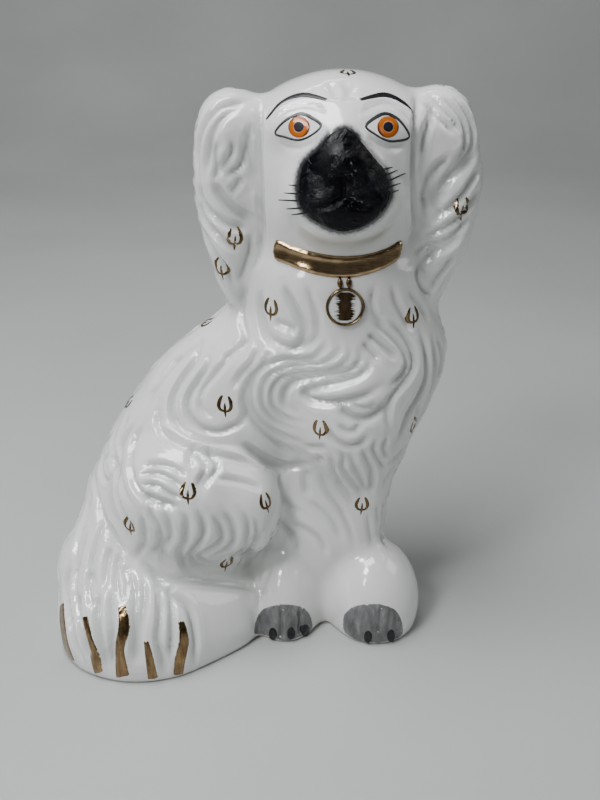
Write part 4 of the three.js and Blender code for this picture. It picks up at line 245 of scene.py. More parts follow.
# Painted layers: point on the surface, the way it faces, outline on the plane that faces that way.
LAYERS = {
    'eyeliner_left': ((-0.35, -10.05, 212.02), (-0.445, -0.834, 0.325), ((-9.3, -2.45), (-9.08, -1.95), (-8.54, -1.3), (-7.83, -0.57), (-7.05, 0.21), (-6.26, 0.96), (-5.52, 1.62), (-4.79, 2.21), (-3.99, 2.8), (-3.15, 3.36), (-2.3, 3.85), (-1.46, 4.23), (-0.66, 4.47), (0.12, 4.55), (0.92, 4.47), (1.73, 4.29), (2.53, 4.03), (3.31, 3.72), (4.08, 3.41), (4.91, 3.07), (5.84, 2.67), (6.77, 2.22), (7.59, 1.74), (8.2, 1.24), (8.48, 0.71), (8.39, 0.14), (7.98, -0.5), (7.33, -1.15), (6.54, -1.78), (5.68, -2.35), (4.88, -2.81), (4.13, -3.19), (3.36, -3.51), (2.56, -3.79), (1.75, -4), (0.91, -4.16), (0.07, -4.25), (-0.8, -4.27), (-1.7, -4.19), (-2.6, -4.06), (-3.48, -3.9), (-4.33, -3.73), (-5.12, -3.57), (-5.95, -3.45), (-6.86, -3.35), (-7.76, -3.23), (-8.54, -3.06), (-9.09, -2.81))),
    'iris_left': ((-0.35, -10.05, 212.02), (-0.395, -0.855, 0.335), ((4.16, 0.18), (4.22, -0.66), (4.06, -1.46), (3.66, -2.17), (3.04, -2.76), (2.26, -3.2), (1.35, -3.48), (0.37, -3.59), (-0.61, -3.53), (-1.53, -3.3), (-2.35, -2.92), (-3.04, -2.4), (-3.56, -1.76), (-3.91, -1.03), (-4.07, -0.24), (-4.06, 0.57), (-3.88, 1.37), (-3.52, 2.11), (-3.01, 2.75), (-2.35, 3.25), (-1.57, 3.59), (-0.71, 3.75), (0.19, 3.71), (1.1, 3.48), (1.96, 3.08), (2.73, 2.51), (3.38, 1.81), (3.87, 1.02))),
    'pupil_left': ((-0.35, -10.05, 212.02), (-0.363, -0.88, 0.307), ((1.93, 0.08), (1.92, -0.46), (1.7, -0.96), (1.31, -1.35), (0.78, -1.61), (0.18, -1.71), (-0.43, -1.65), (-1, -1.43), (-1.46, -1.07), (-1.78, -0.61), (-1.92, -0.09), (-1.89, 0.45), (-1.68, 0.94), (-1.31, 1.35), (-0.82, 1.63), (-0.25, 1.74), (0.35, 1.69), (0.92, 1.46), (1.41, 1.09), (1.76, 0.61))),
    'eyebrow_left': ((-1.91, -4.11, 218.91), (-0.376, -0.541, 0.753), ((-10, -6.03), (-9.34, -5.63), (-8.6, -4.96), (-7.87, -4.04), (-7.2, -2.92), (-6.58, -1.72), (-5.96, -0.59), (-5.28, 0.32), (-4.49, 1.03), (-3.61, 1.68), (-2.69, 2.26), (-1.71, 2.75), (-0.66, 3.16), (0.41, 3.49), (1.5, 3.73), (2.69, 3.96), (4.14, 4.03), (5.72, 4), (7.3, 3.9), (8.78, 3.77), (10.03, 3.66), (10.91, 3.65), (10.59, 4.73), (9.69, 4.87), (8.43, 5.09), (6.91, 5.35), (5.22, 5.6), (3.51, 5.78), (1.87, 5.84), (0.39, 5.76), (-0.85, 5.41), (-2, 4.96), (-3.08, 4.42), (-4.09, 3.79), (-5.01, 3.07), (-5.85, 2.28), (-6.6, 1.4), (-7.26, 0.34), (-7.84, -0.91), (-8.39, -2.2), (-8.97, -3.39), (-9.6, -4.39), (-10.22, -5.13), (-10.73, -5.63))),
    'paw_enamel_left': ((-6.75, -28.6, 10.2), (0.16, -0.987, 0.028), ((-8.07, -8.8), (-13.04, -7.14), (-12.85, -3.13), (-12.26, -0.37), (-11.37, 1.34), (-10.16, 2.74), (-8.88, 4.1), (-7.58, 5.37), (-6.22, 6.62), (-4.74, 7.72), (-3.05, 8.6), (-1.22, 9.13), (0.65, 9.29), (2.55, 9.11), (4.48, 8.57), (6.31, 7.63), (8.01, 6.4), (9.61, 4.81), (10.97, 2.75), (12.08, -0.04), (12.97, -3.37), (13.52, -6.59), (13.06, -8.73), (11.12, -8.78), (9.52, -8.75), (8.44, -9.16), (6.97, -8.93), (5.64, -9.26), (3.9, -9.03), (2.16, -9.46), (0.22, -9.57), (-1.77, -9.38), (-3.49, -8.97), (-4.94, -9.16), (-5.94, -8.91), (-6.9, -8.96))),
    'eyeliner_right': ((30.31, -10.5, 212.07), (0.424, -0.835, 0.351), ((-8.97, 0.67), (-8.45, 1.24), (-7.52, 1.87), (-6.34, 2.52), (-5.05, 3.14), (-3.87, 3.66), (-2.92, 4.04), (-2.16, 4.31), (-1.47, 4.51), (-0.83, 4.63), (-0.21, 4.66), (0.39, 4.61), (1.01, 4.45), (1.65, 4.2), (2.32, 3.85), (2.99, 3.42), (3.65, 2.9), (4.28, 2.31), (4.86, 1.65), (5.48, 0.83), (6.21, -0.16), (6.98, -1.2), (7.72, -2.19), (8.27, -3.04), (8.46, -3.68), (8.11, -4.11), (7.31, -4.39), (6.24, -4.55), (5.06, -4.63), (3.92, -4.67), (2.96, -4.71), (2.18, -4.74), (1.44, -4.72), (0.75, -4.67), (0.06, -4.57), (-0.64, -4.44), (-1.38, -4.25), (-2.17, -4.02), (-2.98, -3.72), (-3.78, -3.38), (-4.57, -3.01), (-5.31, -2.61), (-5.98, -2.2), (-6.68, -1.78), (-7.46, -1.33), (-8.18, -0.86), (-8.73, -0.36), (-9.03, 0.15))),
    'iris_right': ((30.31, -10.5, 212.07), (0.395, -0.846, 0.357), ((4.21, -0.27), (4.05, -1.06), (3.71, -1.79), (3.19, -2.42), (2.49, -2.94), (1.64, -3.32), (0.66, -3.55), (-0.39, -3.62), (-1.45, -3.51), (-2.43, -3.23), (-3.28, -2.79), (-3.94, -2.21), (-4.36, -1.49), (-4.52, -0.69), (-4.42, 0.17), (-4.08, 1.02), (-3.55, 1.82), (-2.85, 2.52), (-2.03, 3.09), (-1.13, 3.5), (-0.19, 3.72), (0.74, 3.75), (1.62, 3.59), (2.4, 3.23), (3.08, 2.72), (3.61, 2.08), (3.98, 1.34), (4.18, 0.54))),
    'pupil_right': ((30.31, -10.5, 212.07), (0.365, -0.87, 0.33), ((1.99, -0.1), (1.84, -0.62), (1.53, -1.08), (1.05, -1.44), (0.46, -1.66), (-0.19, -1.72), (-0.82, -1.62), (-1.38, -1.36), (-1.8, -0.96), (-2.02, -0.47), (-2.03, 0.08), (-1.84, 0.62), (-1.47, 1.1), (-0.96, 1.47), (-0.36, 1.7), (0.26, 1.75), (0.84, 1.63), (1.35, 1.35), (1.72, 0.94), (1.95, 0.44))),
    'eyebrow_right': ((32.02, -5.03, 218.75), (0.354, -0.562, 0.747), ((-10.98, 3.82), (-10.04, 3.83), (-8.69, 3.94), (-7.07, 4.1), (-5.34, 4.23), (-3.65, 4.28), (-2.13, 4.19), (-0.93, 3.93), (0.11, 3.63), (1.11, 3.19), (2.03, 2.63), (2.88, 1.97), (3.67, 1.23), (4.41, 0.46), (5.1, -0.33), (5.69, -1.25), (6.21, -2.33), (6.75, -3.45), (7.35, -4.47), (8.01, -5.32), (8.71, -5.92), (9.35, -6.28), (10.14, -5.88), (9.68, -5.41), (9.11, -4.73), (8.54, -3.83), (8.04, -2.73), (7.58, -1.52), (7.1, -0.32), (6.54, 0.72), (5.93, 1.65), (5.25, 2.56), (4.49, 3.43), (3.64, 4.23), (2.66, 4.93), (1.57, 5.51), (0.33, 5.95), (-1.24, 6.06), (-2.99, 6), (-4.83, 5.82), (-6.64, 5.56), (-8.29, 5.29), (-9.65, 5.06), (-10.61, 4.92))),
    'paw_enamel_right': ((31.12, -30.59, 12.17), (-0.091, -0.996, -0.01), ((-10.38, -10.56), (-12.62, -9.65), (-12.96, -5.41), (-12.9, -1.99), (-12.42, 0.38), (-11.54, 2.31), (-10.41, 4), (-9.06, 5.54), (-7.46, 6.82), (-5.78, 7.81), (-4, 8.54), (-2.13, 9), (-0.3, 9.2), (1.42, 9.21), (3.11, 9), (4.81, 8.46), (6.64, 7.6), (8.49, 6.36), (10.09, 4.63), (11.39, 2.2), (12.45, -0.81), (13.13, -3.85), (13.45, -6.85), (13.38, -9.8), (12.17, -11.05), (10.3, -11.04), (8.44, -11.38), (6.21, -10.82), (4.38, -11.15), (2.47, -11.52), (0.48, -10.96), (-1.51, -11.17), (-3.54, -11.44), (-5.42, -11.5), (-7.16, -11.47), (-8.76, -11.09))),
    'muzzle_enamel': ((14.55, -23.49, 195.75), (-0.052, -0.994, 0.095), ((-0.4, 17.23), (-1.19, 17.07), (-2.06, 16.79), (-2.97, 16.4), (-3.87, 15.89), (-4.74, 15.3), (-5.54, 14.56), (-6.31, 13.69), (-7.07, 12.73), (-7.87, 11.74), (-8.73, 10.76), (-9.74, 9.82), (-10.87, 8.88), (-12.01, 7.91), (-13.06, 6.86), (-13.92, 5.69), (-14.58, 4.37), (-15.11, 2.93), (-15.5, 1.42), (-15.76, -0.1), (-15.9, -1.57), (-15.92, -3.05), (-15.84, -4.56), (-15.63, -6.07), (-15.27, -7.51), (-14.72, -8.82), (-14, -9.99), (-13.12, -11.05), (-12.07, -12.02), (-10.83, -12.92), (-9.42, -13.76), (-7.75, -14.63), (-5.83, -15.52), (-3.77, -16.32), (-1.66, -16.9), (0.39, -17.11), (2.44, -16.9), (4.57, -16.38), (6.66, -15.61), (8.63, -14.67), (10.37, -13.61), (11.94, -12.4), (13.39, -10.97), (14.66, -9.43), (15.69, -7.84), (16.39, -6.27), (16.7, -4.65), (16.69, -2.92), (16.43, -1.19), (15.99, 0.46), (15.45, 1.95), (14.74, 3.25), (13.82, 4.42), (12.78, 5.5), (11.71, 6.55), (10.71, 7.61), (9.76, 8.71), (8.79, 9.82), (7.85, 10.89), (6.94, 11.89), (6.1, 12.81), (5.34, 13.65), (4.63, 14.45), (3.95, 15.17), (3.3, 15.79), (2.65, 16.3), (2.04, 16.69), (1.46, 16.99), (0.89, 17.19), (0.29, 17.27))),
    'gilt_collar': ((14.49, -8.69, 164.84), (-0.001, -1, 0.012), ((-23.54, 5.71), (-21.8, 5.91), (-19.44, 5.11), (-17.1, 4.33), (-14.99, 3.9), (-12.88, 3.47), (-10.77, 3.08), (-8.66, 2.71), (-6.56, 2.38), (-4.49, 2.1), (-2.5, 1.86), (-0.56, 1.69), (1.43, 1.59), (3.54, 1.59), (5.69, 1.66), (7.77, 1.78), (9.73, 1.95), (11.61, 2.19), (13.45, 2.5), (15.29, 2.86), (17.09, 3.28), (18.87, 3.76), (20.82, 4.68), (22.72, 5.69), (24.01, 5.66), (24.36, 3.84), (23.95, 1.2), (23.06, -0.89), (21.71, -2.02), (19.97, -2.77), (18.26, -3.4), (16.76, -3.94), (15.26, -4.35), (13.61, -4.74), (11.69, -5.19), (9.61, -5.64), (7.54, -6), (5.58, -6.24), (3.63, -6.38), (1.55, -6.42), (-0.73, -6.37), (-3.13, -6.22), (-5.53, -6), (-7.91, -5.67), (-10.3, -5.27), (-12.61, -4.79), (-14.84, -4.21), (-16.98, -3.57), (-19.02, -2.93), (-21.11, -2.51), (-23.09, -2.11), (-24.39, -1.19), (-24.8, 0.94), (-24.49, 3.74))),
    'tail_gilt_1': ((-96.54, -40.41, 14.81), (-0.767, -0.627, 0.135), ((-16.06, 6.17), (-15.63, 5.11), (-14.79, 3.82), (-13.53, 2.48), (-12.02, 1.16), (-10.47, -0.13), (-9.25, -1.48), (-8.08, -2.71), (-7.18, -4.16), (-6.5, -5.79), (-6.07, -7.61), (-5.93, -9.64), (-6.65, -12.39), (-4.03, -12.01), (-2.76, -13.07), (-0.97, -13.05), (0.43, -13.04), (1.49, -12.91), (1.81, -13.59), (7.09, -11.21), (6.89, -10.19), (6.45, -8.98), (5.82, -7.67), (5.09, -6.31), (4.34, -4.97), (3.7, -3.67), (2.95, -2.47), (2.15, -1.2), (1.3, 0.1), (0.39, 1.4), (-0.59, 2.67), (-1.66, 3.86), (-3.01, 5.01), (-4.56, 6.21), (-6.25, 7.37), (-7.86, 8.44), (-9.28, 9.33), (-10.4, 9.91))),
    'tail_gilt_2': ((-84.43, -48.37, 16.38), (-0.404, -0.886, 0.226), ((-6.8, 9.85), (-6.5, 9.09), (-6.08, 8.02), (-5.6, 6.72), (-5.09, 5.27), (-4.59, 3.77), (-4.1, 2.32), (-3.57, 0.93), (-3.01, -0.46), (-2.47, -1.88), (-1.97, -3.29), (-1.54, -4.71), (-1.21, -6.12), (-0.83, -7.55), (-0.49, -9.11), (-0.23, -10.69), (-0.05, -12.22), (0.05, -13.57), (0.1, -14.59), (4.88, -11.4), (4.82, -10.44), (4.7, -9.16), (4.5, -7.69), (4.23, -6.15), (3.9, -4.62), (3.53, -3.19), (3, -1.87), (2.41, -0.56), (1.78, 0.74), (1.12, 1.99), (0.47, 3.2), (-0.13, 4.36), (-0.76, 5.58), (-1.43, 6.91), (-2.1, 8.22), (-2.76, 9.42), (-3.37, 10.41), (-3.86, 11.1))),
    'tail_gilt_3': ((-71.27, -50.35, 20.75), (-0.094, -0.932, 0.35), ((-2.66, 12.84), (-2.54, 11.94), (-2.32, 10.71), (-2.07, 9.28), (-1.87, 7.75), (-1.78, 6.25), (-1.84, 4.96), (-1.92, 3.83), (-2.17, 2.58), (-2.56, 1.14), (-2.99, -0.48), (-3.36, -2.33), (-3.54, -4.37), (-3.63, -6.64), (-3.59, -9.12), (-3.52, -11.7), (-3.47, -14.2), (-3.5, -16.37), (-3.62, -17.97), (2.43, -16.03), (2.28, -14.49), (2.03, -12.44), (1.73, -10.17), (1.41, -7.89), (1.16, -5.79), (1.02, -4.1), (1.2, -2.72), (1.54, -1.36), (1.97, 0.05), (2.44, 1.55), (2.84, 3.17), (3.04, 4.89), (2.81, 6.64), (2.42, 8.36), (1.93, 9.98), (1.4, 11.42), (0.92, 12.59), (0.55, 13.41))),
    'tail_gilt_4': ((-60.65, -52.1, 12.96), (0.141, -0.978, 0.155), ((-1.76, 7.44), (-1.77, 6.84), (-1.75, 6.05), (-1.72, 5.09), (-1.67, 3.98), (-1.63, 2.72), (-1.59, 1.36), (-1.56, -0.34), (-1.52, -2.47), (-1.5, -4.83), (-1.49, -7.23), (-1.52, -9.39), (-1.58, -10.99), (2.82, -10.64), (2.67, -9.06), (2.48, -6.94), (2.26, -4.56), (2.03, -2.19), (1.79, -0.07), (1.55, 1.65), (1.31, 3.05), (1.06, 4.32), (0.81, 5.43), (0.58, 6.37), (0.37, 7.13), (0.18, 7.7))),
    'tail_gilt_5': ((-48.45, -48.22, 14.16), (0.431, -0.884, 0.183), ((0.91, 11.36), (0.75, 10.56), (0.62, 9.44), (0.49, 8.13), (0.33, 6.73), (0.1, 5.38), (-0.2, 4.23), (-0.5, 3.12), (-0.93, 1.92), (-1.44, 0.63), (-2, -0.73), (-2.53, -2.16), (-2.99, -3.62), (-3.3, -5.14), (-3.57, -6.69), (-3.79, -8.24), (-3.97, -9.69), (-4.09, -10.93), (-4.17, -11.87), (-0.08, -12.99), (0.06, -12.66), (0.26, -11.99), (0.47, -10.55), (0.73, -9.02), (1.03, -7.53), (1.35, -6.16), (1.69, -4.84), (2.14, -3.46), (2.66, -2.01), (3.18, -0.5), (3.66, 1.05), (4.03, 2.65), (4.09, 4.35), (4.02, 6.05), (3.87, 7.66), (3.7, 9.08), (3.53, 10.23), (3.38, 11.03))),
    'claw_left_1': ((-11.74, -27.53, 4.17), (-0.419, -0.905, -0.074), ((1.63, 0.55), (1.47, -0.64), (1.07, -1.76), (0.5, -2.65), (-0.22, -3.27), (-0.89, -3.35), (-1.35, -2.77), (-1.67, -1.9), (-1.74, -0.75), (-1.55, 0.48), (-1.15, 1.6), (-0.58, 2.46), (0.06, 2.91), (0.68, 2.91), (1.2, 2.47), (1.53, 1.64))),
    'claw_left_2': ((-3.9, -28.51, 5.31), (0.226, -0.974, -0.018), ((1.53, -0.4), (1.42, -1.51), (1.09, -2.39), (0.6, -2.93), (0.02, -3.03), (-0.56, -2.68), (-1.05, -1.93), (-1.38, -0.92), (-1.49, 0.21), (-1.37, 1.3), (-1.04, 2.17), (-0.55, 2.71), (0.03, 2.81), (0.6, 2.49), (1.09, 1.76), (1.41, 0.75))),
    'claw_left_3': ((2.19, -25.16, 4.05), (0.658, -0.747, -0.096), ((2.17, -1.38), (2.1, -2.52), (1.88, -3.48), (1.04, -3.27), (0.34, -3.26), (-0.6, -2.46), (-1.29, -1.39), (-1.76, -0.16), (-1.93, 1.05), (-1.79, 2.09), (-1.39, 2.81), (-0.77, 3.1), (-0.03, 2.91), (0.74, 2.25), (1.43, 1.21), (1.93, -0.07))),
    'claw_right_1': ((29.35, -30.24, 4.89), (-0.191, -0.975, -0.113), ((1.46, 0.22), (1.38, -1.03), (1.08, -2.15), (0.62, -2.98), (0.06, -3.35), (-0.51, -3.2), (-1, -2.57), (-1.34, -1.55), (-1.47, -0.34), (-1.39, 0.9), (-1.09, 1.96), (-0.64, 2.7), (-0.09, 3.03), (0.48, 2.89), (0.97, 2.32), (1.32, 1.39))),
    'claw_right_2': ((39.35, -29.5, 4.8), (0.331, -0.936, -0.122), ((1.73, -0.64), (1.76, -1.92), (1.54, -2.94), (1.08, -3.52), (0.45, -3.53), (-0.26, -2.99), (-0.9, -2.04), (-1.38, -0.84), (-1.63, 0.45), (-1.61, 1.63), (-1.34, 2.53), (-0.87, 3.05), (-0.26, 3.12), (0.38, 2.7), (0.98, 1.85), (1.45, 0.69))),
    'locket': ((16.94, -12.27, 147.76), (0.004, -0.995, 0.102), ((7.39, -0.13), (7.33, -1.3), (7.08, -2.44), (6.67, -3.51), (6.08, -4.51), (5.34, -5.39), (4.47, -6.15), (3.49, -6.76), (2.43, -7.21), (1.3, -7.48), (0.15, -7.58), (-1.01, -7.5), (-2.14, -7.24), (-3.21, -6.81), (-4.21, -6.2), (-5.1, -5.44), (-5.86, -4.55), (-6.48, -3.54), (-6.94, -2.44), (-7.22, -1.29), (-7.32, -0.09), (-7.25, 1.09), (-7, 2.25), (-6.57, 3.34), (-5.98, 4.34), (-5.25, 5.23), (-4.39, 5.98), (-3.42, 6.58), (-2.37, 7.02), (-1.26, 7.29), (-0.12, 7.37), (1.02, 7.28), (2.14, 7), (3.21, 6.55), (4.2, 5.94), (5.09, 5.18), (5.87, 4.28), (6.49, 3.28), (6.97, 2.19), (7.27, 1.04))),
    'locket_link_left': ((14.93, -10.92, 156.72), (-0.011, -0.961, 0.275), ((0.9, 0), (0.83, -0.59), (0.65, -1.1), (0.36, -1.43), (0.02, -1.55), (-0.33, -1.44), (-0.62, -1.1), (-0.82, -0.6), (-0.9, -0), (-0.83, 0.59), (-0.64, 1.09), (-0.36, 1.43), (-0.02, 1.55), (0.33, 1.43), (0.62, 1.1), (0.82, 0.6))),
    'locket_link_right': ((18.29, -10.84, 156.78), (0.052, -0.959, 0.279), ((0.9, -0.01), (0.83, -0.61), (0.63, -1.11), (0.34, -1.44), (-0, -1.55), (-0.35, -1.43), (-0.64, -1.09), (-0.83, -0.58), (-0.9, 0.01), (-0.83, 0.61), (-0.63, 1.11), (-0.33, 1.44), (0.01, 1.55), (0.36, 1.43), (0.65, 1.09), (0.84, 0.58))),
}
WHISKERS = (
    ((-14.05, -1.36), (-15.08, -1.42), (-16.62, -1.51), (-18.19, -1.65), (-19.3, -1.79), (-19.31, -2.09), (-18.22, -2.1), (-16.65, -2.1), (-15.12, -2.1), (-14.09, -2.14)),
    ((-14.36, -3.99), (-15.61, -4.08), (-17.5, -4.24), (-19.47, -4.5), (-20.85, -4.72), (-20.88, -5.03), (-19.5, -4.96), (-17.53, -4.85), (-15.65, -4.78), (-14.4, -4.78)),
    ((-14.34, -6.32), (-16.05, -6.47), (-18.66, -6.8), (-21.42, -7.26), (-23.31, -7.55), (-23.34, -7.87), (-21.46, -7.75), (-18.7, -7.43), (-16.08, -7.2), (-14.37, -7.13)),
    ((-13.66, -8.65), (-14.91, -8.9), (-16.8, -9.31), (-18.79, -9.88), (-20.2, -10.33), (-20.19, -10.66), (-18.78, -10.38), (-16.78, -9.96), (-14.88, -9.63), (-13.62, -9.48)),
    ((-12.63, -10.31), (-13.73, -10.62), (-15.37, -11.09), (-17.08, -11.7), (-18.3, -12.21), (-18.27, -12.55), (-17.03, -12.2), (-15.3, -11.75), (-13.64, -11.36), (-12.53, -11.16)),
    ((13.02, 3.3), (13.87, 3.51), (15.14, 3.78), (16.42, 4.05), (17.3, 4.27), (17.22, 4.56), (16.29, 4.49), (14.97, 4.35), (13.68, 4.17), (12.8, 4.06)),
    ((14.18, 1.35), (15.18, 1.73), (16.67, 2.25), (18.2, 2.77), (19.24, 3.16), (19.1, 3.44), (17.99, 3.19), (16.41, 2.8), (14.87, 2.36), (13.84, 2.07)),
    ((14.94, -0.62), (16.39, -0.08), (18.58, 0.63), (20.85, 1.36), (22.38, 1.92), (22.22, 2.21), (20.62, 1.79), (18.3, 1.19), (16.06, 0.56), (14.58, 0.11)),
    ((14.94, -2.57), (16.02, -2.26), (17.64, -1.88), (19.31, -1.51), (20.49, -1.26), (20.37, -0.96), (19.14, -1.07), (17.41, -1.3), (15.76, -1.6), (14.65, -1.81)),
    ((14.67, -4.84), (15.66, -4.53), (17.15, -4.12), (18.68, -3.74), (19.76, -3.48), (19.63, -3.18), (18.49, -3.29), (16.9, -3.54), (15.38, -3.85), (14.35, -4.08))
)
SPRIGS = (
    ('sprig_head_top', (17.16, 8.82, 228.7), (0.036, -0.206, 0.978), 0, 0.9),
    ('sprig_ear_l_1', (-24.59, 0.24, 170.93), (0.2, -0.979, 0.036), 0, 1),
    ('sprig_ear_l_2', (-30.67, 3.18, 158.48), (-0.516, -0.821, -0.245), 0, 1),
    ('sprig_chest_l', (-11.22, -4.52, 144.78), (-0.531, -0.847, 0.029), -6, 1),
    ('sprig_neck_l', (-38.78, 16.1, 131.79), (-0.558, -0.028, 0.829), -30, 0.95),
    ('sprig_chest_r', (43.81, -5.14, 141.74), (0.579, -0.788, 0.209), 4, 1),
    ('sprig_ear_r', (60.92, 1.31, 181.97), (0.357, -0.934, -0.033), 4, 1),
    ('sprig_shoulder_l', (-29.93, -11.46, 106.55), (-0.15, -0.968, 0.202), 0, 1),
    ('sprig_back_l', (-73.47, 11.1, 97.28), (-0.786, -0.135, 0.603), -30, 0.9),
    ('sprig_chest_c', (7.88, -19.16, 99.73), (-0.421, -0.907, -0.009), -4, 1),
    ('sprig_chest_lo_r', (46.6, -8.11, 95.46), (0.788, -0.573, -0.224), 14, 0.9),
    ('sprig_haunch_1', (-43.74, -32.06, 78.72), (0.069, -0.909, 0.412), -6, 1),
    ('sprig_haunch_2', (-69.38, -27.41, 59.78), (-0.569, -0.811, -0.137), 0, 1),
    ('sprig_knee', (-13.72, -24.86, 69.59), (0.709, -0.615, 0.346), 0, 1),
    ('sprig_foreleg', (26.24, -11.94, 59.95), (0.027, -0.999, 0.048), 0, 0.95),
    ('sprig_shin', (-31.27, -18.92, 35.19), (0.473, -0.795, -0.38), 0, 1),
    ('sprig_rear_1', (-62, 44.61, 70), (-0.288, 0.947, 0.14), 0, 1),
    ('sprig_rear_2', (-22, 46.12, 92), (0.126, 0.991, 0.053), 0, 1),
    ('sprig_rear_3', (22, 49.82, 118), (0.128, 0.989, -0.073), 0, 1),
    ('sprig_rear_4', (-50, 42.57, 30), (0.083, 0.894, -0.439), 0, 1),
    ('sprig_rear_5', (12, 47.36, 188), (-0.049, 0.997, -0.06), 0, 1),
    ('sprig_rear_6', (30, 13.67, 60), (0.595, 0.801, -0.062), 0, 1),
)
# One sprig as brush strokes: (centre line, half widths).
SPRIG = (
    (((-1.25, 3.7), (-2.1, 1.9), (-2.5, -0.4), (-1.75, -2.1), (0.0, -2.6)), (0.34, 0.66, 0.66, 0.52, 0.42)),
    (((1.15, 3.9), (2.1, 1.9), (2.55, -0.3), (1.85, -2.0), (0.17, -2.52)), (0.34, 0.68, 0.68, 0.52, 0.42)),
    (((0.1, 0.9), (0.05, -1.0), (-0.08, -2.9), (-0.35, -5.0)), (0.16, 0.46, 0.46, 0.14)),
)


# ---------------------------------------------------------------- the form
def euler(rx, ry, rz):
    rx, ry, rz = np.radians([rx, ry, rz])
    cx, sx, cy, sy, cz, sz = np.cos(rx), np.sin(rx), np.cos(ry), np.sin(ry), np.cos(rz), np.sin(rz)
    x = np.array([[1, 0, 0], [0, cx, -sx], [0, sx, cx]])
    y = np.array([[cy, 0, sy], [0, 1, 0], [-sy, 0, cy]])
    z = np.array([[cz, -sz, 0], [sz, cz, 0], [0, 0, 1]])
    return z @ y @ x


PREP = []
for f in FORMS:
    if isinstance(f[3], tuple):
        PREP.append(("e", np.array(f[1], np.float32), np.array(f[2], np.float32), euler(*f[3]).astype(np.float32), f[4]))
    else:
        PREP.append(("c", np.array(f[1], np.float32), np.array(f[2], np.float32), f[3], f[4], f[5]))


def smin(a, b, k):
    h = np.maximum(k - np.abs(a - b), 0) / k
    return np.minimum(a, b) - h * h * k * 0.25


def smax(a, b, k):
    return -smin(-a, -b, k)


def figure(p):
    d = None
    for f in PREP:
        if f[0] == "e":
            q = (p - f[1]) @ f[3]
            k0 = np.sqrt(((q / f[2]) ** 2).sum(-1))
            k1 = np.sqrt(((q / (f[2] * f[2])) ** 2).sum(-1))
            v, k = k0 * (k0 - 1) / np.maximum(k1, 1e-6), f[4]
        else:
            ab = f[2] - f[1]
            ap = p - f[1]
            t = np.clip((ap @ ab) / float(ab @ ab), 0, 1)
            v, k = np.sqrt(((ap - t[..., None] * ab) ** 2).sum(-1)) - (f[3] + (f[4] - f[3]) * t), f[5]
        d = v if d is None else smin(d, v, k)
    return d


def casting(p):
    d = figure(p)
    z = p[..., 2]
    foot = np.maximum(d + 7.0, z - 1.5)
    drain = np.maximum(np.hypot(p[..., 0] + 32, p[..., 1] - 9) - 6.0, z - 11.0)
    d = smax(d, -z, 1.6)
    d = smax(d, -foot, 0.6)
    return smax(d, -drain, 0.6)


def chunks(fn, p, n=120000):
    p = p.astype(np.float32)
    return np.concatenate([fn(p[i:i + n]) for i in range(0, len(p), n)]) if len(p) else np.zeros(0, np.float32)


def gradient(fn, p, e=0.25):
    g = np.zeros(p.shape, np.float32)
    for k in range(3):
        s = np.zeros(3, np.float32)
        s[k] = e
        g[:, k] = chunks(fn, p + s) - chunks(fn, p - s)
    return g / np.maximum(np.linalg.norm(g, axis=1, keepdims=True), 1e-9)


